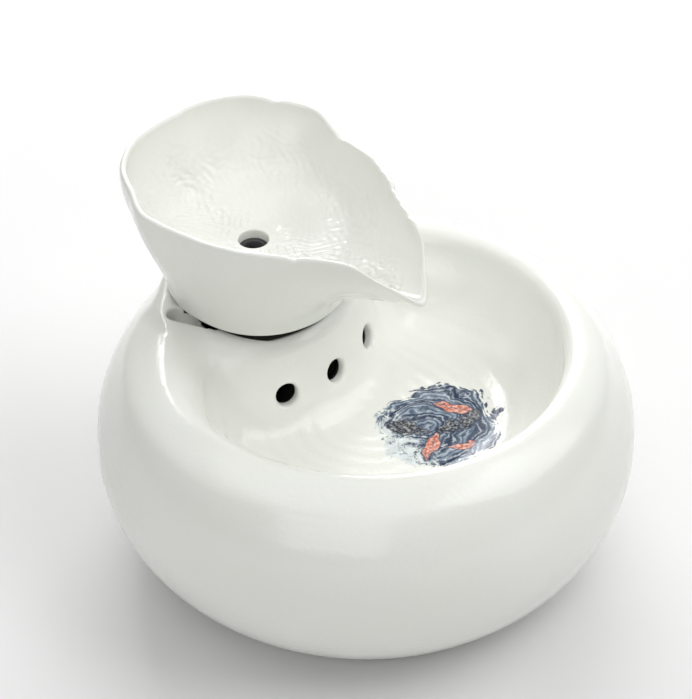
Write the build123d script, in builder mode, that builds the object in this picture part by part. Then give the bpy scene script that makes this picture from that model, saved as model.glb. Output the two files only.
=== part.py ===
"""Ceramic pet water fountain: a round basin, a leaf bowl seated on its pump chamber, and the pump inside.

Millimetres, +Z up. The origin is on the ground under the middle of the body. The spout of the leaf bowl
points along -Y, and the pump chamber is at the back, towards +Y.
"""

from build123d import *
from math import acos, atan, cos, degrees, hypot, radians, sin, sqrt
import os

os.makedirs("parts", exist_ok=True)

# ---------------------------------------------------------------- driving dimensions: the body
body_radius = 125.0
waist_height = 58.0  # level of the widest girth
belly_depth = 84.0  # semi-axis of the belly below the waist
crown_rise = 77.5  # how far the dome above the waist would reach on its axis
crown_fullness = 2.4  # exponent of the dome, 2 is an ellipse
crown_radius = 103.5  # where the dome turns into the lip
lip_radius = 6.0
basin_floor = 64.0
basin_draft = 3.8  # how much less the basin's radius is at its floor than at its mouth
basin_cove = 35.0  # rounding between the basin's wall and floor
wall = 9.0  # thickness of the casting
pocket_cover = 16.4  # from the top of the hollow inside the rim up to the dome
pocket_share = 0.68  # how much of the room between the basin's wall and the shell that hollow takes
foot_width = 11.0

# ---------------------------------------------------------------- driving dimensions: chamber and partition
chamber_inset = 55.0  # from the widest girth to the chamber's axis
chamber_radius = 34.0
chamber_floor = 22.0
seat_radius = 41.0
seat_shoulder = 2.5
seat_rise = 1.0  # of the seat above the top of the partition
well_margin = 1.0  # of the pump well's node round the seat
partition_foot_shift = 42.0  # from the chamber's axis to the middle of the partition's foot curve
partition_foot_radius = 100.0
partition_top_shift = 11.0
partition_top_radius = 55.0
return_hole_diameter = 11.5
return_hole_drop = 27.3  # below the crest of the rim
return_hole_spread = 20.5  # degrees from the middle hole to the next
return_hole_count = 3
groove_radius = 5.0
groove_depth = 9.0
groove_bearing = 8.0  # degrees from -X to where the groove leaves the seat
groove_heading = 37.0  # degrees from +Y to the way the groove runs
groove_run_in = 17.0  # how far inside the edge of the seat the groove starts
groove_length = 50.0

# ---------------------------------------------------------------- driving dimensions: leaf bowl
seat_gap = 0.3
leaf_half_outline = [
    (0, 58), (19.5, 56.6), (38, 47.3), (49, 31), (56.5, 14), (53.3, -6),
    (47.6, -30), (37, -51.5), (24.3, -76), (11, -100), (0, -117),
]  # half of the outline at leaf_height, from the back to the spout, as X and Y from the water hole
leaf_height = 61.4  # of the level where the outline is given, above the leaf's foot
leaf_rim = [
    (66, 70.4), (48, 62.9), (28, 64.9), (10, 61.9), (-10, 59.2), (-40, 60.2),
    (-68, 61.3), (-83, 58.7), (-97, 48.9), (-109, 38.4), (-122, 23.4),
]  # the rim from the back to the spout, as Y from the water hole and height above the foot
leaf_levels = [0, 0.12, 0.36, 0.7, 1.16]  # shares of leaf_height
hollow_levels = [0.25, 0.5, 0.8, 1.25]  # the same for the hollow, the first at its floor
leaf_floor_rise = 20.4  # of the floor's inside above the foot
leaf_wall = 4.5
spigot_gap = 0.6
spigot_depth = 6.0
spigot_wall = 4.0
water_hole_radius = 7.1

# ---------------------------------------------------------------- driving dimensions: pump
cup_radius = 5.8
cup_height = 6.0
cup_stem_radius = 2.6
cup_skirt_height = 3.6
cup_rim = 0.8
housing_width = 34.0
housing_length = 22.0
housing_height = 44.0
housing_wall = 2.0
housing_rounding = 3.0
front_wall = 3.0  # wall between the volute and the coil pocket
rotor_level = 14.0  # rotor axis above the underside of the housing
magnet_radius = 6.8
magnet_length = 12.0
magnet_gap = 0.7
well_wall = 1.5
shaft_radius = 1.0
running_fit = 0.05
bush_radius = 3.0
bush_length = 2.2
end_play = 0.3
core_side_gap = 1.4
core_depth = 9.0
core_web = 5.0
core_clearance = 0.2
core_top_gap = 5.5
bobbin_length = 14.0
bobbin_wall = 0.8
bobbin_flange = 0.8
winding_thickness = 2.2
winding_rounding = 1.8
potting_thickness = 3.0
cover_length = 12.0
cover_height = 30.0
cover_wall = 2.0
volute_radius = 12.0
nozzle_radius = 4.5
nozzle_bore = 3.2
nozzle_height = 16.0  # above the cover
intake_radius = 6.0
spoke_count = 3
spoke_width = 1.6
seal_width = 1.5
seal_depth = 1.2
blade_count = 6
blade_reach = 10.5
blade_width = 1.2
blade_length = 5.0
shroud_thickness = 1.4
hub_radius = 4.0
grille_length = 6.0
grille_wall = 1.6
slot_count = 5
slot_width = 1.8
slot_pitch = 4.4
slot_height = 6.0
sponge_gap = 0.4
dial_radius = 8.0
dial_thickness = 2.0
dial_gap = 0.1
dial_tab = 3.0
dial_hole_count = 4
dial_hole_circle = 4.8  # distance of the dial's holes from its axis
pin_radius = 1.5
pin_head_radius = 2.6
pin_head_length = 0.8
gland_radius = 4.0
gland_height = 8.0
gland_bore = 2.6
gland_lip = 1.0
gland_floor = 1.0
tube_wall = 1.5
tube_overlap = 10.0  # how far the tube is pushed over the nozzle
tube_drop = 4.0  # from the floor of the leaf bowl down to the tube's end
tube_seal_length = 4.0
seal_hole_gap = 0.1
filter_thickness = 4.0
filter_height = 26.0
filter_spread = 84.0  # degrees
filter_gap = 0.3

past = 5.0  # how far a cutting tool runs past what it cuts
crown_pieces = 5  # spans of the curve through the dome
belly_pieces = 4  # spans of the curve through the belly
basin_corner_share = 0.88  # the most of the wall's height that its rounding may take


# ---------------------------------------------------------------- the outline of the body
def flank(angle, radius, rise, fullness):
    """A point of the flank, as distance from the axis and height away from the waist."""
    reach = radius * cos(radians(angle)) ** (2 / fullness)
    return reach, rise * sin(radians(angle)) ** (2 / fullness)


def crown_height(radius):
    """Height of the dome at a distance from the axis."""
    share = (radius / body_radius) ** crown_fullness
    return waist_height + crown_rise * (1 - share) ** (1 / crown_fullness)


def crown_slope(radius):
    """Slope of the dome at a distance from the axis."""
    share = (radius / body_radius) ** crown_fullness
    steepness = (radius / body_radius) ** (crown_fullness - 1)
    return -crown_rise / body_radius * steepness * (1 - share) ** (1 / crown_fullness - 1)


foot_radius = body_radius * (1 - (waist_height / belly_depth) ** 2) ** 0.5
chamber_y = body_radius - chamber_inset
slope = crown_slope(crown_radius)
lip_centre_radius = crown_radius + lip_radius * slope / hypot(1, slope)
lip_centre_height = crown_height(crown_radius) - lip_radius / hypot(1, slope)
crest = lip_centre_height + lip_radius
mouth_radius = lip_centre_radius - lip_radius
basin_floor_radius = mouth_radius - basin_draft
basin_corner = min(basin_cove, basin_corner_share * (lip_centre_height - basin_floor))
partition_foot_y = chamber_y + partition_foot_shift
partition_top_y = chamber_y + partition_top_shift
return_hole_level = crest - return_hole_drop
lip_half_turn = atan(-slope) / 2
crown_end = degrees(acos((crown_radius / body_radius) ** (crown_fullness / 2)))
crown_steps = [crown_end * step / crown_pieces for step in range(crown_pieces + 1)]
belly_end = degrees(acos(foot_radius / body_radius))
belly_start = (body_radius * sin(radians(belly_end)), belly_depth * cos(radians(belly_end)))
belly_steps = [belly_end * step / belly_pieces for step in range(belly_pieces + 1)]


def belly_points(inset):
    """The belly from the foot up to the waist, moved in from the outside by inset."""
    points = [flank(angle, body_radius - inset, belly_depth - inset / 2, 2) for angle in belly_steps]
    return [(reach, waist_height - drop) for reach, drop in reversed(points)]


crown_points = [
    (reach, waist_height + rise)
    for reach, rise in (flank(angle, body_radius, crown_rise, crown_fullness) for angle in crown_steps)
]

# ---------------------------------------------------------------- partition between basin and chamber
with BuildPart() as partition:
    with BuildSketch(Plane.XY.offset(basin_floor - wall)):
        with Locations((0, partition_foot_y)):
            Circle(partition_foot_radius)
    with BuildSketch(Plane.XY.offset(crest - seat_rise)):
        with Locations((0, partition_top_y)):
            Circle(partition_top_radius)
    loft()
    fillet(partition.faces().sort_by(Axis.Z)[-1].edges(), seat_shoulder)

# ---------------------------------------------------------------- the open basin
with BuildPart() as basin:
    with BuildSketch(Plane.XZ):
        with BuildLine():
            Line((0, crest + past), (lip_centre_radius, crest + past))
            Line((lip_centre_radius, crest + past), (lip_centre_radius, crest))
            ThreePointArc(
                (lip_centre_radius, crest),
                (lip_centre_radius - lip_radius / sqrt(2), lip_centre_height + lip_radius / sqrt(2)),
                (mouth_radius, lip_centre_height),
            )
            FilletPolyline(
                (mouth_radius, lip_centre_height),
                (basin_floor_radius, basin_floor),
                (0, basin_floor),
                radius=basin_corner,
            )
            Line((0, basin_floor), (0, crest + past))
        make_face()
    revolve(axis=Axis.Z)
    add(partition.part, mode=Mode.SUBTRACT)

# ---------------------------------------------------------------- the hollow underside
underside_roof = basin_floor - wall
pocket_radius = mouth_radius + wall
pocket_width = pocket_share * (body_radius - wall - pocket_radius)
pocket_level = crown_height(pocket_radius + pocket_width) - pocket_cover

with BuildPart() as underside:
    with BuildSketch(Plane.XZ):
        with BuildLine():
            Line((0, -past), (foot_radius - foot_width, -past))
            Line((foot_radius - foot_width, -past), belly_points(wall)[0])
            Spline(belly_points(wall))
            Polyline(
                belly_points(wall)[-1],
                (pocket_radius + pocket_width, pocket_level),
                (pocket_radius, pocket_level),
                (pocket_radius, underside_roof),
                (0, underside_roof),
                (0, -past),
            )
        make_face()
    revolve(axis=Axis.Z)
    with BuildSketch(Plane.XY.offset(chamber_floor - wall)):
        with Locations((0, chamber_y)):
            Circle(chamber_radius + wall)
    extrude(amount=crest, mode=Mode.SUBTRACT)

# ---------------------------------------------------------------- the groove for the lead
groove_way = (-sin(radians(groove_heading)), cos(radians(groove_heading)), 0)
groove_across = (-groove_way[1], groove_way[0], 0)
groove_start = (
    -seat_radius * cos(radians(groove_bearing)) - groove_run_in * groove_way[0],
    chamber_y + seat_radius * sin(radians(groove_bearing)) - groove_run_in * groove_way[1],
)
groove_level = crest - groove_depth + groove_radius

with BuildPart() as groove:
    with BuildSketch(Plane((*groove_start, groove_level), x_dir=groove_across, z_dir=groove_way)):
        Circle(groove_radius)
        Rectangle(2 * groove_radius, groove_depth + past, align=(Align.CENTER, Align.MIN))
    extrude(amount=groove_length)

# ---------------------------------------------------------------- the one-piece casting
hole_share = (return_hole_level - underside_roof) / (crest - underside_roof)
hole_centre_y = partition_foot_y + (partition_top_y - partition_foot_y) * hole_share
hole_start = partition_foot_radius + past

with BuildPart() as casting:
    with BuildSketch(Plane.XZ):
        with BuildLine():
            Line((0, 0), (foot_radius, 0))
            Spline(belly_points(0), tangents=[belly_start, (0, 1)])
            Spline(crown_points, tangents=[(0, 1), (-1, -slope)])
            ThreePointArc(
                (crown_radius, crown_height(crown_radius)),
                (
                    lip_centre_radius + lip_radius * sin(lip_half_turn),
                    lip_centre_height + lip_radius * cos(lip_half_turn),
                ),
                (lip_centre_radius, crest),
            )
            Polyline((lip_centre_radius, crest), (0, crest), (0, 0))
        make_face()
    revolve(axis=Axis.Z)
    add(basin.part, mode=Mode.SUBTRACT)
    with BuildSketch(Plane.XY.offset(waist_height)):
        with Locations((0, chamber_y)):
            Circle(seat_radius + seat_shoulder)
    extrude(amount=crest - waist_height)
    add(underside.part, mode=Mode.SUBTRACT)
    with BuildSketch(Plane.XY.offset(chamber_floor)):
        with Locations((0, chamber_y)):
            Circle(chamber_radius)
    extrude(amount=crest, mode=Mode.SUBTRACT)
    for turn in range(return_hole_count):
        bearing = radians(return_hole_spread * (turn - (return_hole_count - 1) / 2))
        hole_way = (-sin(bearing), cos(bearing), 0)
        mouth = (hole_start * sin(bearing), hole_centre_y - hole_start * cos(bearing), return_hole_level)
        with BuildSketch(Plane(mouth, z_dir=hole_way)):
            Circle(return_hole_diameter / 2)
        extrude(amount=hole_start - chamber_radius / 2, mode=Mode.SUBTRACT)
    add(groove.part, mode=Mode.SUBTRACT)

# ---------------------------------------------------------------- its two nodes: the pump well and the bowl round it
with BuildPart() as well_zone:
    with BuildSketch(Plane.XZ):
        with BuildLine():
            Line((0, -past), (belly_points(wall / 2)[0][0], -past))
            Line((belly_points(wall / 2)[0][0], -past), belly_points(wall / 2)[0])
            Spline(belly_points(wall / 2))
            Polyline(
                belly_points(wall / 2)[-1],
                (body_radius, crest + past),
                (0, crest + past),
                (0, -past),
            )
        make_face()
    revolve(axis=Axis.Z)
    with BuildSketch(Plane.XY.offset(chamber_floor - wall - well_margin)):
        with Locations((0, chamber_y)):
            Circle(seat_radius + seat_shoulder + well_margin)
    extrude(amount=crest, mode=Mode.INTERSECT)
    with BuildSketch(Plane.XY.offset(underside_roof - past)):
        with Locations((0, partition_foot_y)):
            Circle(partition_foot_radius)
        Circle(mouth_radius, mode=Mode.INTERSECT)
    extrude(amount=crest)

with BuildPart() as base_bowl:
    add(casting.part)
    add(well_zone.part, mode=Mode.SUBTRACT)
base_bowl.part.label = "base_bowl"
export_step(base_bowl.part, "parts/base_bowl.step")

with BuildPart() as pump_well:
    add(casting.part)
    add(well_zone.part, mode=Mode.INTERSECT)
pump_well.part.label = "pump_well"
export_step(pump_well.part, "parts/pump_well.step")

# ---------------------------------------------------------------- leaf bowl
leaf_foot = crest + seat_gap
leaf_floor = leaf_foot + leaf_floor_rise
spigot_radius = chamber_radius - spigot_gap
recess_radius = spigot_radius - spigot_wall
recess_roof = leaf_floor - leaf_wall


def leaf_section(share, inset):
    """Points of the leaf bowl's outline at a share of its height, moved in by inset."""
    swell = share * (2 - share)
    points = []
    for x, y in leaf_half_outline:
        kept = (seat_radius + (hypot(x, y) - seat_radius) * swell - inset) / hypot(x, y)
        points.append((x * kept, chamber_y + y * kept))
    return points + [(-x, y) for x, y in reversed(points[1:-1])]


rim_curve = [(chamber_y + y, leaf_foot + rise) for y, rise in leaf_rim]

with BuildPart() as leaf_hollow:
    for share in hollow_levels:
        with BuildSketch(Plane.XY.offset(leaf_floor + (share - hollow_levels[0]) * leaf_height)):
            with BuildLine():
                Spline(leaf_section(share, leaf_wall), periodic=True)
            make_face()
    loft()

with BuildPart() as leaf_bowl:
    for share in leaf_levels:
        with BuildSketch(Plane.XY.offset(leaf_foot + share * leaf_height)):
            with BuildLine():
                Spline(leaf_section(share, 0), periodic=True)
            make_face()
    loft()
    with BuildSketch(Plane.YZ):
        with BuildLine():
            Spline(rim_curve)
            Polyline(
                rim_curve[-1],
                (rim_curve[-1][0], leaf_foot),
                (rim_curve[0][0], leaf_foot),
                rim_curve[0],
            )
        make_face()
    extrude(amount=body_radius, both=True, mode=Mode.INTERSECT)
    add(leaf_hollow.part, mode=Mode.SUBTRACT)
    with BuildSketch(Plane.XY.offset(leaf_foot - spigot_depth)):
        with Locations((0, chamber_y)):
            Circle(spigot_radius)
    extrude(amount=spigot_depth + leaf_wall)
    with BuildSketch(Plane.XY.offset(leaf_foot - spigot_depth)):
        with Locations((0, chamber_y)):
            Circle(recess_radius)
    extrude(amount=recess_roof - leaf_foot + spigot_depth, mode=Mode.SUBTRACT)
    with Locations((0, chamber_y, leaf_floor)):
        Hole(water_hole_radius, leaf_floor - recess_roof + past)
leaf_bowl.part.label = "leaf_bowl"
export_step(leaf_bowl.part, "parts/leaf_bowl.step")

# ---------------------------------------------------------------- where the pump stands
housing_bottom = chamber_floor + cup_height
housing_top = housing_bottom + housing_height
cover_top = housing_bottom + cover_height
rotor_z = housing_bottom + rotor_level
cover_back = chamber_y + cover_length / 2
cover_front = cover_back - cover_length
housing_back = cover_back + housing_length
grille_front = cover_front - grille_length
well_radius = magnet_radius + magnet_gap
pocket_front = cover_back + front_wall  # front of the coil pocket, and of the magnet
pocket_back = housing_back - potting_thickness
magnet_back = pocket_front + magnet_length
rear_bush_front = magnet_back + end_play
well_end = rear_bush_front + bush_length
shroud_back = cover_back - seal_depth
blade_back = shroud_back - shroud_thickness
blade_front = blade_back - blade_length
front_bush_back = blade_front - end_play
front_bush_front = front_bush_back - bush_length


def facing_front(y):
    """A plane across the rotor axis, with X to the right, Z up and its normal towards -Y."""
    return Plane((0, y, 0), x_dir=(1, 0, 0), z_dir=(0, -1, 0))


# ---------------------------------------------------------------- pump housing
with BuildPart() as pump_housing:
    with BuildSketch(facing_front(housing_back)):
        with Locations((0, housing_bottom + housing_height / 2)):
            RectangleRounded(housing_width, housing_height, housing_rounding)
    extrude(amount=housing_length)
    with BuildSketch(facing_front(housing_back)):
        with Locations((0, housing_bottom + housing_wall)):
            Rectangle(
                housing_width - 2 * housing_wall,
                housing_height - 2 * housing_wall,
                align=(Align.CENTER, Align.MIN),
            )
    extrude(amount=housing_back - pocket_front, mode=Mode.SUBTRACT)
    with BuildSketch(facing_front(well_end + well_wall)):
        with Locations((0, rotor_z)):
            Circle(well_radius + well_wall)
    extrude(amount=well_end + well_wall - pocket_front)
    with BuildSketch(facing_front(well_end)):
        with Locations((0, rotor_z)):
            Circle(well_radius)
    extrude(amount=well_end - cover_back, mode=Mode.SUBTRACT)
pump_housing.part.label = "pump_housing"
export_step(pump_housing.part, "parts/pump_housing.step")

# ---------------------------------------------------------------- potting cover
with BuildPart() as potting_cover:
    with BuildSketch(facing_front(housing_back)):
        with Locations((0, housing_bottom + housing_height / 2)):
            Rectangle(housing_width - 2 * housing_wall, housing_height - 2 * housing_wall)
    extrude(amount=potting_thickness)
potting_cover.part.label = "potting_cover"
export_step(potting_cover.part, "parts/potting_cover.step")

# ---------------------------------------------------------------- stator core, bobbin and winding
core_inner = well_radius + well_wall + core_clearance
core_outer = housing_width / 2 - housing_wall - core_side_gap
core_middle = (pocket_front + pocket_back) / 2
core_back = core_middle + core_depth / 2
core_bottom = rotor_z - well_radius
core_top = housing_top - housing_wall - core_top_gap
core_height = core_top - core_bottom
web_z = core_top - core_web / 2
bobbin_depth = core_depth + 2 * bobbin_wall
bobbin_height = core_web + 2 * bobbin_wall

with BuildPart() as stator_core:
    with BuildSketch(facing_front(core_back)):
        with Locations((0, core_bottom)):
            Rectangle(2 * core_outer, core_height, align=(Align.CENTER, Align.MIN))
            Rectangle(
                2 * core_inner,
                core_height - core_web,
                align=(Align.CENTER, Align.MIN),
                mode=Mode.SUBTRACT,
            )
    extrude(amount=core_depth)
stator_core.part.label = "stator_core"
export_step(stator_core.part, "parts/stator_core.step")

with BuildPart() as coil_bobbin:
    with Locations((0, core_middle, web_z)):
        Box(bobbin_length, bobbin_depth, bobbin_height)
    with Locations(
        (-(bobbin_length - bobbin_flange) / 2, core_middle, web_z),
        ((bobbin_length - bobbin_flange) / 2, core_middle, web_z),
    ):
        Box(bobbin_flange, bobbin_depth + 2 * winding_thickness, bobbin_height + 2 * winding_thickness)
    with Locations((0, core_middle, web_z)):
        Box(bobbin_length, core_depth, core_web, mode=Mode.SUBTRACT)
coil_bobbin.part.label = "coil_bobbin"
export_step(coil_bobbin.part, "parts/coil_bobbin.step")

with BuildPart() as coil_winding:
    with Locations((0, core_middle, web_z)):
        Box(
            bobbin_length - 2 * bobbin_flange,
            bobbin_depth + 2 * winding_thickness,
            bobbin_height + 2 * winding_thickness,
        )
        fillet(coil_winding.edges().filter_by(Axis.X), winding_rounding)
        Box(bobbin_length, bobbin_depth, bobbin_height, mode=Mode.SUBTRACT)
coil_winding.part.label = "coil_winding"
export_step(coil_winding.part, "parts/coil_winding.step")

# ---------------------------------------------------------------- cord gland, the inlet of the lead
gland_y = pocket_back - gland_radius
gland_x = housing_width / 2 - housing_rounding - gland_radius

with BuildPart() as cord_gland:
    with BuildSketch(Plane.XY.offset(housing_top)):
        with Locations((gland_x, gland_y)):
            Circle(gland_radius)
    with BuildSketch(Plane.XY.offset(housing_top + gland_height)):
        with Locations((gland_x, gland_y)):
            Circle(gland_bore + gland_lip)
    loft()
    with BuildSketch(Plane.XY.offset(housing_top + gland_floor)):
        with Locations((gland_x, gland_y)):
            Circle(gland_bore)
    extrude(amount=gland_height, mode=Mode.SUBTRACT)
cord_gland.part.label = "cord_gland"
export_step(cord_gland.part, "parts/cord_gland.step")

# ---------------------------------------------------------------- shaft and its bushes
with BuildPart() as pump_shaft:
    with BuildSketch(facing_front(well_end)):
        with Locations((0, rotor_z)):
            Circle(shaft_radius)
    extrude(amount=well_end - front_bush_front)
pump_shaft.part.label = "pump_shaft"
export_step(pump_shaft.part, "parts/pump_shaft.step")


def make_bush(name, back):
    """A rubber bush that holds one end of the shaft."""
    with BuildPart() as bush:
        with BuildSketch(facing_front(back)):
            with Locations((0, rotor_z)):
                Circle(bush_radius)
                Circle(shaft_radius, mode=Mode.SUBTRACT)
        extrude(amount=bush_length)
    bush.part.label = name
    export_step(bush.part, f"parts/{name}.step")


make_bush("rear_bush", well_end)
make_bush("front_bush", front_bush_back)

# ---------------------------------------------------------------- rotor: magnet and impeller
bore_radius = shaft_radius + running_fit

with BuildPart() as rotor_magnet:
    with BuildSketch(facing_front(magnet_back)):
        with Locations((0, rotor_z)):
            Circle(magnet_radius)
            Circle(bore_radius, mode=Mode.SUBTRACT)
    extrude(amount=magnet_length)
rotor_magnet.part.label = "rotor_magnet"
export_step(rotor_magnet.part, "parts/rotor_magnet.step")

with BuildPart() as impeller:
    with BuildSketch(facing_front(pocket_front)):
        with Locations((0, rotor_z)):
            Circle(hub_radius)
    extrude(amount=pocket_front - blade_front)
    with BuildSketch(facing_front(shroud_back)):
        with Locations((0, rotor_z)):
            Circle(blade_reach)
    extrude(amount=shroud_thickness)
    with BuildSketch(facing_front(blade_back)):
        with Locations((0, rotor_z)):
            with PolarLocations(0, blade_count):
                Rectangle(blade_reach, blade_width, align=(Align.MIN, Align.CENTER))
    extrude(amount=blade_length)
    with BuildSketch(facing_front(pocket_front)):
        with Locations((0, rotor_z)):
            Circle(bore_radius)
    extrude(amount=pocket_front - blade_front, mode=Mode.SUBTRACT)
impeller.part.label = "impeller"
export_step(impeller.part, "parts/impeller.step")

# ---------------------------------------------------------------- volute cover with the outlet nozzle
cover_middle = housing_bottom + cover_height / 2

with BuildPart() as volute_cover:
    with BuildSketch(facing_front(cover_back)):
        with Locations((0, cover_middle)):
            RectangleRounded(housing_width, cover_height, housing_rounding)
    extrude(amount=cover_length)
    with BuildSketch(Plane.XY.offset(cover_top - cover_wall)):
        with Locations((0, chamber_y)):
            Circle(nozzle_radius)
    extrude(amount=cover_wall + nozzle_height)
    with BuildSketch(facing_front(cover_back)):
        with Locations((0, rotor_z)):
            Circle(volute_radius)
    extrude(amount=cover_length - cover_wall, mode=Mode.SUBTRACT)
    with BuildSketch(facing_front(cover_back)):
        with Locations((0, rotor_z)):
            Circle(volute_radius + seal_width)
    extrude(amount=seal_depth, mode=Mode.SUBTRACT)
    with BuildSketch(Plane.XY.offset(rotor_z)):
        with Locations((0, chamber_y)):
            Circle(nozzle_bore)
    extrude(amount=cover_top + nozzle_height - rotor_z, mode=Mode.SUBTRACT)
    with BuildSketch(facing_front(cover_front + cover_wall)):
        with Locations((0, rotor_z)):
            Circle(intake_radius)
    extrude(amount=cover_wall, mode=Mode.SUBTRACT)
    with BuildSketch(facing_front(front_bush_back)):
        with Locations((0, rotor_z)):
            Circle(bush_radius + spoke_width)
            with PolarLocations(0, spoke_count, start_angle=90):
                Rectangle(intake_radius + spoke_width, spoke_width, align=(Align.MIN, Align.CENTER))
            Circle(bush_radius, mode=Mode.SUBTRACT)
    extrude(amount=front_bush_back - cover_front)
volute_cover.part.label = "volute_cover"
export_step(volute_cover.part, "parts/volute_cover.step")

with BuildPart() as volute_seal:
    with BuildSketch(facing_front(cover_back)):
        with Locations((0, rotor_z)):
            Circle(volute_radius + seal_width)
            Circle(volute_radius, mode=Mode.SUBTRACT)
    extrude(amount=seal_depth)
volute_seal.part.label = "volute_seal"
export_step(volute_seal.part, "parts/volute_seal.step")

# ---------------------------------------------------------------- intake grille, sponge and flow dial
with BuildPart() as intake_grille:
    with BuildSketch(facing_front(cover_front)):
        with Locations((0, cover_middle)):
            RectangleRounded(housing_width, cover_height, housing_rounding)
    extrude(amount=grille_length)
    with BuildSketch(facing_front(cover_front)):
        with Locations((0, cover_middle)):
            Rectangle(housing_width - 2 * grille_wall, cover_height - 2 * grille_wall)
    extrude(amount=grille_length - grille_wall, mode=Mode.SUBTRACT)
    with BuildSketch(facing_front(grille_front + grille_wall)):
        with Locations((0, rotor_z - dial_radius / 2)):
            with GridLocations(slot_pitch, 1, slot_count, 1):
                Rectangle(slot_width, slot_height)
        with Locations((0, cover_top - grille_wall - slot_height)):
            with GridLocations(slot_pitch, 1, slot_count, 1):
                Rectangle(slot_width, slot_height)
    extrude(amount=grille_wall, mode=Mode.SUBTRACT)
    with BuildSketch(facing_front(grille_front)):
        with Locations((0, rotor_z)):
            Circle(pin_radius)
    extrude(amount=2 * dial_gap + dial_thickness)
    with BuildSketch(facing_front(grille_front - 2 * dial_gap - dial_thickness)):
        with Locations((0, rotor_z)):
            Circle(pin_head_radius)
    extrude(amount=pin_head_length)
intake_grille.part.label = "intake_grille"
export_step(intake_grille.part, "parts/intake_grille.step")

with BuildPart() as intake_sponge:
    with BuildSketch(facing_front(cover_front)):
        with Locations((0, cover_middle)):
            Rectangle(
                housing_width - 2 * grille_wall - sponge_gap,
                cover_height - 2 * grille_wall - sponge_gap,
            )
    extrude(amount=grille_length - grille_wall)
intake_sponge.part.label = "intake_sponge"
export_step(intake_sponge.part, "parts/intake_sponge.step")

with BuildPart() as flow_dial:
    with BuildSketch(facing_front(grille_front - dial_gap)):
        with Locations((0, rotor_z)):
            Circle(dial_radius)
            Rectangle(dial_radius + dial_tab, dial_tab, align=(Align.MIN, Align.CENTER))
            with PolarLocations(dial_hole_circle, dial_hole_count, start_angle=180 / dial_hole_count):
                Circle(slot_width, mode=Mode.SUBTRACT)
            Circle(pin_radius + running_fit, mode=Mode.SUBTRACT)
    extrude(amount=dial_thickness)
flow_dial.part.label = "flow_dial"
export_step(flow_dial.part, "parts/flow_dial.step")

# ---------------------------------------------------------------- suction cups
cup_places = [
    (side * (housing_width / 2 - cup_radius), y)
    for side in (-1, 1)
    for y in (chamber_y, housing_back - cup_stem_radius - housing_wall)
]

with BuildPart() as suction_cups:
    with Locations([(x, y, chamber_floor) for x, y in cup_places]):
        Cylinder(cup_radius, cup_rim, align=(Align.CENTER, Align.CENTER, Align.MIN))
        Cylinder(cup_stem_radius, cup_height, align=(Align.CENTER, Align.CENTER, Align.MIN))
    with Locations([(x, y, chamber_floor + cup_rim) for x, y in cup_places]):
        Cone(
            cup_radius,
            cup_stem_radius,
            cup_skirt_height - cup_rim,
            align=(Align.CENTER, Align.CENTER, Align.MIN),
        )
suction_cups.part.label = "suction_cups"
export_step(suction_cups.part, "parts/suction_cups.step")

# ---------------------------------------------------------------- riser tube and its seal in the leaf
nozzle_top = cover_top + nozzle_height
tube_bottom = nozzle_top - tube_overlap
tube_top = leaf_floor - tube_drop
tube_radius = nozzle_radius + tube_wall

with BuildPart() as riser_tube:
    with BuildSketch(Plane.XY.offset(tube_bottom)):
        with Locations((0, chamber_y)):
            Circle(tube_radius)
            Circle(nozzle_radius, mode=Mode.SUBTRACT)
    extrude(amount=tube_top - tube_bottom)
riser_tube.part.label = "riser_tube"
export_step(riser_tube.part, "parts/riser_tube.step")

with BuildPart() as leaf_seal:
    with BuildSketch(Plane.XY.offset(tube_top - tube_seal_length)):
        with Locations((0, chamber_y)):
            Circle(water_hole_radius - seal_hole_gap)
            Circle(tube_radius + running_fit, mode=Mode.SUBTRACT)
    extrude(amount=tube_seal_length)
leaf_seal.part.label = "leaf_seal"
export_step(leaf_seal.part, "parts/leaf_seal.step")

# ---------------------------------------------------------------- foam filter behind the return holes
filter_radius = chamber_radius - filter_gap
filter_reach = 2 * chamber_radius * sin(radians(filter_spread / 2))
filter_depth = 2 * chamber_radius * cos(radians(filter_spread / 2))

with BuildPart() as return_filter:
    with BuildSketch(Plane.XY.offset(return_hole_level - filter_height / 2)):
        with Locations((0, chamber_y)):
            Circle(filter_radius)
            Circle(filter_radius - filter_thickness, mode=Mode.SUBTRACT)
        with BuildLine():
            Polyline(
                (0, chamber_y),
                (-filter_reach, chamber_y - filter_depth),
                (filter_reach, chamber_y - filter_depth),
                close=True,
            )
        make_face(mode=Mode.INTERSECT)
    extrude(amount=filter_height)
return_filter.part.label = "return_filter"
export_step(return_filter.part, "parts/return_filter.step")
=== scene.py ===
"""Ceramic pet water fountain: glazed body, leaf bowl, foam pads, rubber parts and finishes of the pump.

Metres outside the shape functions, millimetres inside them. The floor is z = 0, the spout of the leaf bowl
points along -Y, and the pump chamber is at the back, towards +Y.
"""

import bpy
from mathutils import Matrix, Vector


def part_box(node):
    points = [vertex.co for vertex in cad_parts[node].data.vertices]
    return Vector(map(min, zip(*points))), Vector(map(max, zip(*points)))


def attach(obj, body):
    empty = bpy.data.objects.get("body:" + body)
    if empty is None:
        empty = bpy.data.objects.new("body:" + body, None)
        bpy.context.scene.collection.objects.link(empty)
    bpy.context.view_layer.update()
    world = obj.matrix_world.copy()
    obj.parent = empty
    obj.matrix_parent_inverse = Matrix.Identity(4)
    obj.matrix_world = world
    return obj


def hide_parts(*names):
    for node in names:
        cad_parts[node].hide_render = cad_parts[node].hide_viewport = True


bl_info = {
    "name": "Ceramic pet water fountain",
    "version": (1, 0, 0),
    "blender": (4, 5, 0),
    "location": "3D View > Sidebar > Fountain",
    "description": "Builds the glazed body, the leaf bowl and the soft parts, and finishes the pump",
    "category": "Add Mesh",
}

import math

import bpy
import numpy as np
from bpy.props import FloatProperty, FloatVectorProperty, IntProperty, PointerProperty
from mathutils import Matrix, Vector

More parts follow.
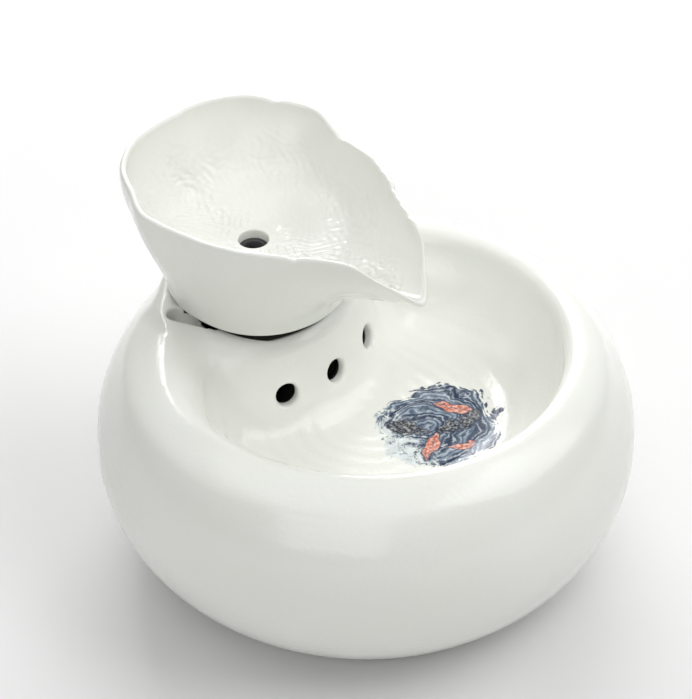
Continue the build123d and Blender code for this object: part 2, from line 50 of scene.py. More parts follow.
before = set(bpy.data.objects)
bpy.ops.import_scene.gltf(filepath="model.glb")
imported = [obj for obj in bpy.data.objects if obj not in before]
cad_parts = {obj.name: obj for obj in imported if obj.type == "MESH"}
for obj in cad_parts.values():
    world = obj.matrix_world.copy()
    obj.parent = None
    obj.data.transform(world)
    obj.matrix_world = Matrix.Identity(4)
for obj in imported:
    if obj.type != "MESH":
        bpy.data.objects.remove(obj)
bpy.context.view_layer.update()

MM = 0.001


def box_mm(node):
    """Lowest and highest corner of a node of the frame, in millimetres."""
    low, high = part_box(node)
    return np.array(low) / MM, np.array(high) / MM


# ---------------- sizes of the body, millimetres
BODY_RADIUS, _, CREST = box_mm("base_bowl")[1].tolist()
WAIST = 58.0
BELLY_DEPTH = 84.0
CROWN_RISE = 77.5
CROWN_FULLNESS = 2.4
LIP_RADIUS = 10.0
BASIN_RADIUS = 89.5
BASIN_SHIFT = (5.5, 2.7)
BASIN_DRAFT = 3.8
BASIN_FLOOR = 64.0
BASIN_COVE = 35.0
WALL = 9.0
FOOT_INNER, FOOT_SLOPE, FOOT_SLANT = 79.4, 1.1, 1.49
POCKET_INNER, POCKET_OUTER, POCKET_FOOT, POCKET_TOP = 102.8, 111.8, 45.0, 84.0
CHAMBER_Y = 70.0
CHAMBER_RADIUS = 34.0
CHAMBER_FLOOR = 22.0
SEAT_RADIUS = 41.0
SEAT_SHOULDER = 2.5
# the partition's cone: its axis in Y, its radius and the height they are for
PARTITION_FOOT = (112.0, 100.0, 55.0)
PARTITION_TOP = (81.0, 55.0, 109.33)
PARTITION_SLOPE = 0.80
SHOULDER_BLEND = 34.0
HOLE_RADIUS = 5.4
HOLE_LEVEL = 82.0
HOLE_SLOPE = 0.29
HOLE_CENTRE_Y = 96.0
HOLE_BEARINGS = (-20.5, 1.0, 23.0)
HOLE_NEAR, HOLE_FAR = 40.0, 105.0
HOLE_FACE = 76.8
HOLE_FLARE = 2.2
GROOVE_RADIUS = 4.7
GROOVE_DEPTH = 9.0
GROOVE_BEARING = 7.0
GROOVE_HEADING = 24.0
GROOVE_RUN_IN = 17.0
GROOVE_LENGTH = 21.5
FILTER_INNER, FILTER_OUTER = CHAMBER_RADIUS - 4.2, CHAMBER_RADIUS - 0.4
FILTER_HALF_TURN = 41.5
CUP_RADIUS = 5.8
TUBE_INNER, TUBE_OUTER = 4.5, 6.0
ROTOR_LEVEL = 42.0
# the wide step and the fine one of the grid that the body's surface is taken from
GRID_STEP, FINE_STEP = 2.6, 1.5

# ---------------- sizes of the leaf bowl, millimetres
LEAF_FOOT = CREST + 0.3
LEAF_HEIGHT = 61.4
LEAF_FLOOR = LEAF_FOOT + 23.8
RECESS_ROOF = LEAF_FOOT + 15.9
SEAM_HEIGHT = 1.1
SEAL_RAISE = 2.4
SPIGOT_RADIUS = 33.4
SPIGOT_INNER = 29.4
SPIGOT_DEPTH = 6.0
WATER_HOLE_RADIUS = 7.1
SEAM_ROUND = 0.9
LEAF_HOLLOW = 0.53
LEAF_SPOUT_HOLLOW = 0.7
LEAF_OVERHANG = 4.6
CREASE_DEPTH = 2.0
LEAF_HALF_OUTLINE = (
    (0, 57.9), (21.3, 55.8), (39.7, 44.9), (50.1, 28.5), (57.5, 12.7), (53.2, -7.6),
    (48.5, -31.6), (39.3, -50.7), (25.4, -73.1), (13.4, -102.6), (0, -145),
)
LEAF_RIM = (
    (66, 64.2), (48, 64.2), (28, 63.6), (10, 61.2), (-10, 58.1), (-40, 59.9),
    (-68, 60.6), (-83, 59.4), (-97, 46.7), (-109, 33.8), (-122, 21.2),
)
SPIGOT_FOOT = LEAF_FOOT - SPIGOT_DEPTH
LEAF_UNDER = (
    # radius and height of the points from the seam along the seat, the spigot and the recess to the hole
    (SPIGOT_RADIUS + 3.0, LEAF_FOOT + SEAM_HEIGHT),
    (SPIGOT_RADIUS + 2.6, LEAF_FOOT + 0.2),
    (SPIGOT_RADIUS + 2.2, LEAF_FOOT),
    (SPIGOT_RADIUS + 0.6, LEAF_FOOT),
    (SPIGOT_RADIUS, LEAF_FOOT - 0.5),
    (SPIGOT_RADIUS, SPIGOT_FOOT + 1.0),
    (SPIGOT_RADIUS - 0.3, SPIGOT_FOOT + 0.3),
    (SPIGOT_RADIUS - 1.0, SPIGOT_FOOT),
    (SPIGOT_INNER + 1.0, SPIGOT_FOOT),
    (SPIGOT_INNER + 0.3, SPIGOT_FOOT + 0.3),
    (SPIGOT_INNER, SPIGOT_FOOT + 1.0),
    (SPIGOT_INNER, SPIGOT_FOOT + 6.0),
    (SPIGOT_INNER, RECESS_ROOF - 6.0),
    (SPIGOT_INNER, RECESS_ROOF - 2.0),
    (SPIGOT_INNER - 0.6, RECESS_ROOF - 0.6),
    (SPIGOT_INNER - 2.0, RECESS_ROOF),
    (SPIGOT_INNER - 8.0, RECESS_ROOF),
    (WATER_HOLE_RADIUS + 5.0, RECESS_ROOF),
    (WATER_HOLE_RADIUS + 0.6, RECESS_ROOF),
    (WATER_HOLE_RADIUS, RECESS_ROOF + 0.5),
)
RIM_NICKS = (
    # x, y, half width and depth of each nick in the leaf's rim
    (-33.0, 11.3, 2.8, 1.3),
    (47.7, 100.0, 3.2, 1.7),
    (51.6, 61.2, 3.0, 1.7),
    (34.9, 14.4, 2.4, 1.3),
    (27.6, 3.0, 2.0, 1.0),
    (23.1, -5.9, 1.8, 0.8),
    (9.0, 126.0, 3.0, 0.9),
)

# ---------------- the painted patch, in units of its own size
# its middle in metres, its turn and its size
PATCH = ((0.0190, -0.0290, 0), (0, 0, -0.23), (0.0312, 0.0276, 1))
PETALS = (
    # centre, turn, length, half width and paint
    ((0.07, 0.11), 0.5, 0.36, 0.13, "coral"),
    ((0.39, -0.19), -0.5, 0.26, 0.10, "coral"),
    ((0.81, 0.61), 2.1, 0.34, 0.13, "coral"),
    ((0.87, 0.23), 0.4, 0.34, 0.12, "charcoal"),
    ((0.01, 0.63), -0.9, 0.32, 0.11, "charcoal"),
    ((0.49, 0.27), 2.5, 0.26, 0.10, "charcoal"),
)

# ---------------- the stage, in metres and degrees
VIEW_ANGLES = (-48.0, 41.0)
VIEW_TARGET = (0, 0, 0.058)
VIEW_DISTANCE = 1.25
# how far the camera looks past the target's left and top, as shares of its distance
VIEW_LEFT, VIEW_UP = 19.7 / 2669, 79.5 / 2669
# millimetres
LENS, SENSOR = 137.46, 36.0
FLOOR_REACH, FLOOR_DROP = 3000.0, 0.2
SOFT_BOXES = (
    # name, place, target, size, share of the key light's power
    ("top_softbox", (0.0, 0.0, 2.0), (0, 0, 0.07), (2.4, 2.4), 0.64),
    ("right_softbox", (0.87, -0.97, 1.6), (0, 0, 0.07), (1.6, 1.6), 0.66),
    ("left_softbox", (-0.87, 0.97, 1.6), (0, 0, 0.07), (1.6, 1.6), 0.13),
    ("back_softbox", (1.26, 1.14, 0.6), (0, 0, 0.07), (1.2, 1.2), 1.10),
    ("front_softbox", (-1.35, -0.75, 0.9), (0, 0, 0.09), (1.3, 1.3), 0.29),
    ("window", (0.77, 1.72, 1.64), (-0.05, 0.07, 0.11), (0.22, 0.4), 0.13),
)


# ---------------- what a user can change
def metres(name, default, description):
    """A length, in metres."""
    return FloatProperty(name=name, default=default, description=description, min=0.0, unit="LENGTH")


def plain_number(name, default, description):
    """A plain number."""
    return FloatProperty(name=name, default=default, description=description, min=0.0)


def swatch(name, default, description):
    """A colour."""
    return FloatVectorProperty(name=name, default=default, description=description, subtype="COLOR", size=3)


class FountainShape(bpy.types.PropertyGroup):
    """Sizes of the glazed pieces."""

    lip_round: metres("Lip rounding", LIP_RADIUS * MM, "Radius of the rolled rim")
    partition_blend: metres("Partition blend", 0.018, "How widely the partition runs into rim and floor")
    hole_edge: metres("Hole edge", 0.0022, "Softness of the return holes' edges")
    leaf_lip: metres("Leaf lip", 0.003, "Thickness of the leaf bowl at its rim")
    leaf_fold: plain_number("Leaf fold", 0.33, "Slope of the two halves of the leaf's floor")
    relief: metres("Hammered relief", 0.0008, "Height of the dimples inside the leaf")
    leaf_columns: IntProperty(name="Leaf columns", default=400, min=64, description="Lines round the leaf")


class FountainFinish(bpy.types.PropertyGroup):
    """Colours of the glaze, the bare clay, the painted shade and the painted patch."""

    glaze: swatch("Glaze", (0.915, 0.925, 0.88), "Colour of the glaze")
    glaze_pool: swatch("Pooled glaze", (0.885, 0.895, 0.825), "Colour where the glaze is thicker")
    clay: swatch("Bare clay", (0.72, 0.66, 0.56), "Colour of the unglazed foot")
    # painted shade: a near-black colour for the deep parts of the return holes, the seat and the underside of
    # the leaf's foot, where shade falls
    painted_hollow_shade: swatch("Painted shade", (0.035, 0.033, 0.028), "Colour of the painted shade on the seat and in the holes")
    glaze_gloss: plain_number("Glaze roughness", 0.16, "Roughness of the glaze")
    indigo: swatch("Indigo", (0.040, 0.062, 0.115), "Darkest paint of the patch")
    slate_blue: swatch("Slate blue", (0.17, 0.225, 0.30), "Middle paint of the patch")
    coral: swatch("Coral", (0.62, 0.17, 0.11), "Paint of the petals")


class FountainStage(bpy.types.PropertyGroup):
    """Floor and light."""

    floor: swatch("Floor", (0.80, 0.80, 0.80), "Colour of the floor")
    sky: plain_number("Sky", 0.05, "Strength of the soft light all round")
    key: plain_number("Key light", 28.0, "Power that the soft boxes share out")


# ---------------- arrays and meshes
def add_mesh(name, points, faces, material, normals=None, sharp=None):
    """A mesh object from arrays in millimetres: faces that enclose a negative volume are turned round.

    Its normals can be given, or the angle in degrees from which an edge is shown sharp.
    """
    volume = 0.0
    for second in range(1, faces.shape[1] - 1):
        first, next_one, last = (points[faces[:, corner]] for corner in (0, second, second + 1))
        volume += (first * np.cross(next_one, last)).sum()
    if volume < 0:
        faces = faces[:, ::-1]
    mesh = bpy.data.meshes.new(name)
    mesh.from_pydata((points * MM).tolist(), [], faces.tolist())
    mesh.shade_smooth()
    if mesh.validate():
        raise RuntimeError(f"{name}: the mesh had faults")
    if normals is not None:
        mesh.normals_split_custom_set_from_vertices(normals.tolist())
    if sharp is not None:
        mesh.set_sharp_from_angle(angle=math.radians(sharp))
    made = bpy.data.objects.new(name, mesh)
    bpy.context.scene.collection.objects.link(made)
    mesh.materials.append(material)
    return made


def grid_faces(rows, columns, close_rows=False, close_columns=True):
    """Quads between the neighbours of a grid whose points are stored row by row."""
    row = np.arange(rows if close_rows else rows - 1)[:, None]
    column = np.arange(columns if close_columns else columns - 1)[None, :]
    next_row, next_column = (row + 1) % rows, (column + 1) % columns
    corners = (
        row * columns + column,
        row * columns + next_column,
        next_row * columns + next_column,
        next_row * columns + column,
    )
    return np.stack([np.broadcast_to(c, (row.shape[0], column.shape[1])) for c in corners], -1).reshape(-1, 4)


def step_between(low, high, value):
    """0 at low, 1 at high, 3 t^2 - 2 t^3 between them and level past them. Low may be the greater."""
    share = np.clip((value - low) / (high - low), 0, 1)
    return share * share * (3 - 2 * share)


def smooth_min(a, b, width):
    """The lesser of two fields, with their crossing rounded off over a width."""
    near = np.maximum(width - np.abs(a - b), 0) / width
    return np.minimum(a, b) - near * near * width / 4


def smooth_max(a, b, width):
    """The greater of two fields, with their crossing rounded off over a width."""
    return -smooth_min(-a, -b, width)


def round_corner(a, b, radius):
    """Where two solids overlap, with a true quarter circle of the given radius on their common edge."""
    inside = np.minimum(-radius, np.maximum(a, b))
    return inside + np.hypot(np.maximum(radius + a, 0), np.maximum(radius + b, 0))


def resample(profiles, count):
    """Rows of points spread evenly along their own length: profiles is (columns, points, 2)."""
    steps = np.hypot(*np.moveaxis(np.diff(profiles, axis=1), -1, 0))
    length = np.concatenate([np.zeros((len(profiles), 1)), np.cumsum(steps, 1)], 1)
    length = length / length[:, -1:]
    row = 2.0 * np.arange(len(profiles))[:, None]
    wanted = (row + np.linspace(0, 1, count)).ravel()
    known = (row + length).ravel()
    made = [np.interp(wanted, known, profiles[..., axis].ravel()) for axis in (0, 1)]
    return np.stack(made, -1).reshape(len(profiles), count, 2)


def smooth_curve(points, count, closed):
    """Points on a cubic through the given ones, whose slope at each is that between its two neighbours."""
    points = np.asarray(points, float)
    if closed:
        before, start, end, after = (np.roll(points, shift, 0) for shift in (1, 0, -1, -2))
    else:
        padded = np.concatenate([2 * points[:1] - points[1:2], points, 2 * points[-1:] - points[-2:-1]])
        before, start, end, after = padded[:-3], padded[1:-2], padded[2:-1], padded[3:]
    t = (np.arange(64) / 64)[None, :, None]
    before, start, end, after = (p[:, None, :] for p in (before, start, end, after))
    slope_in, slope_out = (end - before) / 2, (after - start) / 2
    curve = (
        (2 * t**3 - 3 * t**2 + 1) * start
        + (t**3 - 2 * t**2 + t) * slope_in
        + (3 * t**2 - 2 * t**3) * end
        + (t**3 - t**2) * slope_out
    ).reshape(-1, 2)
    curve = np.concatenate([curve, points[:1] if closed else points[-1:]])
    even = resample(curve[None], count + 1 if closed else count)[0]
    return even[:-1] if closed else even


# ---------------- the glazed body
def flank(reach, z, radius, rise, depth):
    """Distance to the girth: (r/R)^n + (|z - waist|/H)^n = 1, n the dome's fullness above and 2 below."""
    above = z > WAIST
    power = np.where(above, CROWN_FULLNESS, 2.0)
    height = np.where(above, rise, depth)
    across = np.maximum(reach, 1e-3) / radius
    along = np.abs(z - WAIST) / height + 1e-6
    level = (across**power + along**power) ** (1 / power)
    slope = np.hypot(across ** (power - 1) / radius, along ** (power - 1) / height) * level ** (1 - power)
    return (level - 1) / slope


def basin_field(x, y, z, blend):
    """The basin: a turned pan with a large cove, less the partition, a cone whose axis leans with height."""
    height_share = np.clip((CREST - LIP_RADIUS - z) / (CREST - LIP_RADIUS - BASIN_FLOOR), -0.3, 1.3)
    in_basin = np.hypot(x - BASIN_SHIFT[0], y - BASIN_SHIFT[1])
    pan = round_corner(in_basin - BASIN_RADIUS + BASIN_DRAFT * height_share, BASIN_FLOOR - z, BASIN_COVE)
    lift = (z - PARTITION_FOOT[2]) / (PARTITION_TOP[2] - PARTITION_FOOT[2])
    middle, radius = (low + (high - low) * lift for low, high in zip(PARTITION_FOOT[:2], PARTITION_TOP[:2]))
    partition = (np.hypot(x, y - middle) - radius) * PARTITION_SLOPE
    shoulder = step_between(38, 74, np.abs(x)) * step_between(66, 88, z)
    return smooth_max(pan, -partition, blend + SHOULDER_BLEND * shoulder)


def underside_field(reach, z, to_chamber):
    """The hollow underside: the girth moved in by the wall, under a flat roof with a ring-shaped pocket in
    the rim, less the cup that holds the chamber.
    """
    hollow = flank(reach, z, BODY_RADIUS - WALL, CROWN_RISE, BELLY_DEPTH - WALL / 2)
    hollow = smooth_max(hollow, (reach - FOOT_INNER - FOOT_SLOPE * z) / FOOT_SLANT, 6.0)
    hollow = smooth_max(hollow, z - BASIN_FLOOR + WALL, 6.0)
    inner_side = np.maximum(POCKET_INNER - reach, POCKET_FOOT - z)
    pocket = smooth_max(inner_side, np.maximum(z - POCKET_TOP, reach - POCKET_OUTER), 4.0)
    hollow = smooth_min(hollow, pocket, 5.0)
    cup = smooth_max(to_chamber - CHAMBER_RADIUS - WALL, CHAMBER_FLOOR - WALL - z, 5.0)
    return smooth_max(hollow, -cup, 5.0)


def hole_field(x, y, z, bearing):
    """A return hole: a cylinder from the partition's face down to the chamber, which widens on its way."""
    along = x * math.sin(bearing) - (y - HOLE_CENTRE_Y) * math.cos(bearing)
    across = x * math.cos(bearing) + (y - HOLE_CENTRE_Y) * math.sin(bearing)
    flare = HOLE_FLARE * step_between(HOLE_FACE - 3.5, HOLE_FACE - 9, along)
    level = HOLE_LEVEL + HOLE_SLOPE * (along - HOLE_FACE)
    hole = np.hypot(across, z - level) - HOLE_RADIUS - flare
    return np.maximum(hole, np.maximum(HOLE_NEAR - along, along - HOLE_FAR))


def groove_field(x, y, z):
    """The groove for the lead: a short slot, open above, with a round bottom and a round end."""
    heading, bearing = math.radians(GROOVE_HEADING), math.radians(GROOVE_BEARING)
    way = (-math.sin(heading), math.cos(heading))
    start_x = -SEAT_RADIUS * math.cos(bearing) - GROOVE_RUN_IN * way[0]
    start_y = CHAMBER_Y + SEAT_RADIUS * math.sin(bearing) - GROOVE_RUN_IN * way[1]
    along = (x - start_x) * way[0] + (y - start_y) * way[1]
    across = (x - start_x) * way[1] - (y - start_y) * way[0]
    level = CREST - GROOVE_DEPTH + GROOVE_RADIUS
    across = np.hypot(across, np.maximum(along - GROOVE_LENGTH, 0))
    groove = np.where(z > level, across, np.hypot(across, z - level)) - GROOVE_RADIUS
    return np.maximum(groove, -along)


def body_field(x, y, z, lip, blend, edge):
    """The body as a field that is negative inside the clay and zero on its surface.

    The girth, with a boss round the chamber's mouth, is closed at the crest with a quarter circle of the
    lip's radius. The basin, the underside, the chamber, the return holes and the groove are taken from it,
    each with a rounded crossing.
    """
    reach = np.hypot(x, y)
    to_chamber = np.hypot(x, y - CHAMBER_Y)
    body = flank(reach, z, BODY_RADIUS, CROWN_RISE, BELLY_DEPTH)
    boss = np.maximum(to_chamber - SEAT_RADIUS - SEAT_SHOULDER, WAIST + 8 - z)
    body = smooth_min(body, boss, 6.0)
    rounding = lip - (lip - SEAT_SHOULDER) * step_between(58, 46, to_chamber)
    body = round_corner(body, z - CREST, rounding)
    body = smooth_max(body, -z, 2.5)
    body = round_corner(body, -basin_field(x, y, z, blend), lip)
    body = smooth_max(body, -underside_field(reach, z, to_chamber), 3.0)
    chamber = round_corner(to_chamber - CHAMBER_RADIUS, CHAMBER_FLOOR - z, 5.0)
    body = smooth_max(body, -chamber, 2.0)
    for bearing in np.radians(HOLE_BEARINGS):
        body = smooth_max(body, -hole_field(x, y, z, bearing), edge)
    return smooth_max(body, -groove_field(x, y, z), 1.6)


def grid_lines(low, high, wide, spans):
    """Grid lines a wide step apart, and a narrower one within the spans given as (from, to, step)."""
    fine = np.arange(low, high, 0.1)
    step = np.full(len(fine), wide)
    for start, end, narrow in spans:
        near = np.minimum(step_between(start - 8, start, fine), 1 - step_between(end, end + 8, fine))
        step = np.minimum(step, wide + (narrow - wide) * near)
    count = np.concatenate([[0], np.cumsum(0.1 / step)])[:-1]
    return np.interp(np.arange(math.floor(count[-1]) + 1), count, fine)


def field_surface(field, xs, ys, zs):
    """The surface where a field is zero, as one point in each grid cell that it passes through.

    The point is the mean of the places where the cell's edges cross the surface, by straight
    interpolation. Each grid edge that crosses it gives one quad, between its four cells.
    """
    value = field(*np.meshgrid(xs, ys, zs, indexing="ij"))
    inside = value < 0
    corners = [
        inside[i : inside.shape[0] - 1 + i, j : inside.shape[1] - 1 + j, k : inside.shape[2] - 1 + k]
        for i in (0, 1)
        for j in (0, 1)
        for k in (0, 1)
    ]
    total = sum(corner.astype(np.int8) for corner in corners)
    crossed = (total > 0) & (total < 8)
    index = np.full(crossed.shape, -1, np.int64)
    index[crossed] = np.arange(crossed.sum())
    cell = np.nonzero(crossed)
    summed, hits = np.zeros((len(cell[0]), 3)), np.zeros(len(cell[0]))
    quads = []
    for axis in range(3):
        first, second = [other for other in range(3) if other != axis]
        for p, q in ((0, 0), (0, 1), (1, 0), (1, 1)):
            near, far = [0, 0, 0], [0, 0, 0]
            near[first] = far[first] = p
            near[second] = far[second] = q
            far[axis] = 1
            a = value[tuple(c + o for c, o in zip(cell, near))]
            b = value[tuple(c + o for c, o in zip(cell, far))]
            hit = (a < 0) != (b < 0)
            share = np.where(hit, a / np.where(hit, a - b, 1), 0)
            place = np.empty((len(a), 3))
            for d, lines in enumerate((xs, ys, zs)):
                start = lines[cell[d] + near[d]]
                place[:, d] = start + (lines[cell[d] + far[d]] - start) * share
            summed += np.where(hit[:, None], place, 0)
            hits += hit
        span = [slice(1, -1)] * 3
        low, high = list(span), list(span)
        low[axis], high[axis] = slice(None, -1), slice(1, None)
        a, b = inside[tuple(low)], inside[tuple(high)]
        edge = list(np.nonzero(a != b))
        for d in (first, second):
            edge[d] = edge[d] + 1
        around = []
        for p, q in ((1, 1), (0, 1), (0, 0), (1, 0)):
            place = list(edge)
            place[first] = place[first] - p
            place[second] = place[second] - q
            around.append(index[tuple(place)])
        quad = np.stack(around, 1)
        turned = a[a != b] if axis != 1 else ~a[a != b]
        quads.append(np.where(turned[:, None], quad, quad[:, ::-1]))
    return summed / hits[:, None], np.concatenate(quads)


def field_slope(field, points):
    """The field's slope at each point, from the values 0.05 mm either side of it."""
    slope = np.empty_like(points)
    for axis in range(3):
        shift = np.zeros(3)
        shift[axis] = 0.05
        slope[:, axis] = (field(*(points + shift).T) - field(*(points - shift).T)) / 0.1
    return slope


def body_mesh(lip, blend, edge):
    """Points, faces and normals of the body: the zero of its field, each point slid onto it by the slope."""

    def field(x, y, z):
        return body_field(x, y, z, lip, blend, edge)

    low, high = -BODY_RADIUS - 2.3, BODY_RADIUS + 5.3
    xs = grid_lines(low, high, GRID_STEP, [(-50, 34, FINE_STEP)])
    ys = grid_lines(low, high, GRID_STEP, [(14, 40, 1.6), (68, 90, FINE_STEP)])
    zs = grid_lines(-GRID_STEP, CREST + 5, GRID_STEP, [(-2, 5, 1.2), (76, 90, FINE_STEP), (100, 111, 1.6)])
    points, faces = field_surface(field, xs, ys, zs)
    for _ in range(4):
        slope = field_slope(field, points)
        move = -slope * (field(*points.T) / np.maximum((slope**2).sum(1), 0.2))[:, None]
        length = np.linalg.norm(move, axis=1, keepdims=True)
        points = points + move * np.minimum(1, 0.8 / np.maximum(length, 1e-9))
    slope = field_slope(field, points)
    return points, faces, slope / np.linalg.norm(slope, axis=1, keepdims=True)


# ---------------- the leaf bowl
def hammered(x, y, z):
    """Dimples of a hammered glaze, -1 to 1: products of sines on coordinates that wander with other sines."""
    a = x + 2.3 * np.sin(0.21 * y + 0.17 * z) + 1.4 * np.sin(0.43 * z - 0.31 * y)
    b = y + 2.1 * np.sin(0.23 * x - 0.11 * z) + 1.7 * np.sin(0.37 * x + 0.29 * z)
    c = z + 1.9 * np.sin(0.27 * x + 0.19 * y)
    coarse = np.sin(1.05 * a) * np.sin(0.95 * b + 0.8) * np.cos(0.9 * c)
    fine = np.sin(1.9 * b + 1.1 * c) * np.sin(2.1 * a - 0.7 * c)
    return 0.65 * coarse + 0.35 * fine


def dimpled(inside, relief):
    """The inner side of the leaf, moved along its normals by dimples at the fold and the foot of the wall."""
    normal = np.cross(np.roll(inside, -1, 0) - np.roll(inside, 1, 0), np.gradient(inside, axis=1))
    normal = normal / np.linalg.norm(normal, axis=-1, keepdims=True)
    normal = normal * np.sign(normal[..., 2:] + 1e-9)
    x, y, z = np.moveaxis(inside, -1, 0)
    from_hole = np.hypot(x, y - CHAMBER_Y)
    rise = step_between(0, 1, np.linspace(0, 1, inside.shape[1]))[None, :]
    fold_band = np.exp(-((x / 10.0) ** 2))
    foot_band = np.exp(-(((z - LEAF_FLOOR - 12) / 9.0) ** 2)) * step_between(28, 40, from_hole)
    amount = (0.14 + fold_band + 0.45 * foot_band) * (1 - step_between(0.86, 1.0, rise))
    amount = amount * step_between(WATER_HOLE_RADIUS + 1, WATER_HOLE_RADIUS + 5, from_hole)
    return inside + normal * (relief * amount * hammered(x, y, z))[..., None]


def leaf_profiles(columns, lip, fold, relief):
    """Points of the leaf bowl as (columns, rows, 3), each column a closed profile in a plane.

    Outside, at a share t of the height, the wall stands at s + (L - s) (1 - (1 - t^p)^2) from the hole's
    axis, with s the foot's radius, L the outline's distance in that column and p from 1.5 at the back to
    2.2 at the spout, which hollows its underside. It ends a little above the seat, on a small quarter
    circle, and leaves a dark seam there. The rim is where that wall meets the rim's height, a function of
    Y, less the nicks. Inside, the wall is the same curve moved in by the lip's thickness, with a soft
    crease up the back. A smooth maximum joins it to a floor that rises from the fold along the Y axis as
    slope * (sqrt(x^2 + c^2) - c). The lip is a half circle. Below are the seat, the spigot and the recess,
    and the water hole closes the profile.
    """
    half = np.array(LEAF_HALF_OUTLINE, float)
    mirrored = half[-2:0:-1] * [-1, 1]
    outline = smooth_curve(np.concatenate([half, mirrored]), columns, closed=True)
    distance = np.hypot(*outline.T)
    way = outline / distance[:, None]
    rim_line = smooth_curve(LEAF_RIM, 400, closed=False)[::-1]
    foot = SEAT_RADIUS + LEAF_OVERHANG * step_between(0, 1, -way[:, 1:])
    spread = distance[:, None] - foot
    hollow = 1 + LEAF_HOLLOW + LEAF_SPOUT_HOLLOW * step_between(55, 120, distance)[:, None]

    def wall_reach(share):
        return foot + spread * (1 - (1 - share**hollow) ** 2)

    def place(reach):
        return reach * way[:, :1], CHAMBER_Y + reach * way[:, 1:]

    share = np.full((columns, 1), 0.9)
    for _ in range(40):
        x, y = place(wall_reach(share))
        height = np.interp(y, rim_line[:, 0] + CHAMBER_Y, rim_line[:, 1]) - lip / 3
        for nick_x, nick_y, width, depth in RIM_NICKS:
            height = height - depth * np.exp(-((x - nick_x) ** 2 + (y - nick_y) ** 2) / width**2)
        far = step_between(-20, 20, x) * step_between(50, 15, y)
        height = height + (0.1 + 0.3 * far) * (np.sin(0.33 * y + 0.9) + 0.6 * np.sin(0.71 * y + 0.4 * x))
        share = share + 0.4 * (height / LEAF_HEIGHT - share)
    rim = share
    slope = (wall_reach(rim) - wall_reach(rim - 0.01)) / 0.01
    lean = np.arctan2(np.maximum(slope, 0), LEAF_HEIGHT)

    # outside, from the rim down to the foot
    outside = rim * np.linspace(1, 0, 160)
    level = SEAM_HEIGHT + (LEAF_HEIGHT - SEAM_HEIGHT / rim) * outside
    turn = np.maximum(SEAM_ROUND - level + SEAM_HEIGHT, 0)
    back = SEAM_ROUND - np.sqrt(SEAM_ROUND**2 - turn**2)
    outer = np.stack([wall_reach(outside) - back, LEAF_FOOT + level], -1)

    # the lip, from inside to outside over the top
    angle = np.linspace(math.pi, 0, 12)[None, :]
    across, upward = lip / 2 * np.cos(angle), lip / 2 * np.sin(angle)
    lip_reach = wall_reach(rim) - lip / 2 * np.cos(lean) + across * np.cos(lean) + upward * np.sin(lean)
    lip_level = LEAF_FOOT + LEAF_HEIGHT * rim + lip / 2 * np.sin(lean)
    lip_level = lip_level - across * np.sin(lean) + upward * np.cos(lean)
    lip_arc = np.stack([lip_reach, lip_level], -1)

    # inside, from the hole's edge out along the floor and up to the lip
    inset = lip / np.cos(lean)
    top = rim + lip * np.sin(lean) / LEAF_HEIGHT
    up = np.linspace(0, 1, 200)
    thicken = 1.4 * step_between(0, 0.35, top - top * up)
    crease = CREASE_DEPTH * np.exp(-((distance * way[:, 0] / 9.0) ** 2)) * (way[:, 1] > 0)
    wall_part = wall_reach(top * up) - inset - thicken
    wall_part = wall_part + crease[:, None] * np.sin(np.linspace(0, math.pi, 200))
    start = WATER_HOLE_RADIUS + 1.0
    floor_part = start + (wall_part[:, :1] - start) * np.linspace(0, 1, 60, endpoint=False)
    reach = np.concatenate([floor_part, wall_part], 1)
    wall_level = LEAF_FOOT + LEAF_HEIGHT * top * up
    wall_level = np.concatenate([np.full(floor_part.shape, LEAF_FOOT), wall_level], 1)
    x, y = place(reach)
    y = y - CHAMBER_Y
    floor_level = LEAF_FLOOR + fold * (np.hypot(x, 3.0) - 3.0) * step_between(start, 30, reach)
    floor_level = floor_level + 7.0 * step_between(-15, -115, y)
    inner = np.stack([reach, smooth_max(wall_level, floor_level, 22.0)], -1)
    inner[:, -1] = lip_arc[:, 0]

    ring = np.ones((columns, 1, 1))
    edge_angle = np.linspace(0, math.pi / 2, 5)
    hole_edge = ring * np.stack([start - np.cos(edge_angle), LEAF_FLOOR - 1 + np.sin(edge_angle)], -1)
    under = ring * np.array(LEAF_UNDER)
    inner = resample(inner, 104)
    outer = resample(outer, 62)
    profile = np.concatenate([hole_edge, inner[:, 1:], lip_arc[:, 1:-1], outer, under], 1)
    x, y = place(profile[..., 0])
    points = np.stack([x, y, profile[..., 1]], -1)

    first, last = hole_edge.shape[1], hole_edge.shape[1] + inner.shape[1] - 1
    points[:, first:last] = dimpled(points[:, first:last], relief)
    return points


# ---------------- turned and carried pieces
def turned(profile, centre, columns):
    """A profile of (radius, height) points turned about a vertical axis, as one ring of points for each."""
    profile = np.asarray(profile, float)
    angle = np.linspace(0, 2 * math.pi, columns, endpoint=False)
    x = centre[0] + profile[:, :1] * np.cos(angle)
    y = centre[1] + profile[:, :1] * np.sin(angle)
    z = centre[2] + profile[:, 1:] + 0 * x
    return np.stack([x, y, z], -1)


def closed_turning(profile, centre, columns):
    """Points and quads of a ring-shaped piece: a closed profile turned about a vertical axis."""
    points = turned(profile, centre, columns)
    return points.reshape(-1, 3), grid_faces(len(profile), columns, close_rows=True)


def capped_faces(rows, columns):
    """Triangles between rings of points, and from the end rings to the two poles stored after them."""
    quads = grid_faces(rows, columns)
    column = np.arange(columns)
    after = (column + 1) % columns
    last, pole = (rows - 1) * columns, np.full(columns, rows * columns)
    start = np.stack([pole, after, column], 1)
    end = np.stack([pole + 1, last + column, last + after], 1)
    return np.concatenate([quads[:, [0, 1, 2]], quads[:, [0, 2, 3]], start, end])


def capped_turning(profile, centre, columns):
    """Points and triangles of a solid of revolution whose profile starts and ends on its axis."""
    rings = turned(profile[1:-1], centre, columns)
    poles = np.array([(centre[0], centre[1], centre[2] + profile[end][1]) for end in (0, -1)])
    return np.concatenate([rings.reshape(-1, 3), poles]), capped_faces(len(profile) - 2, columns)


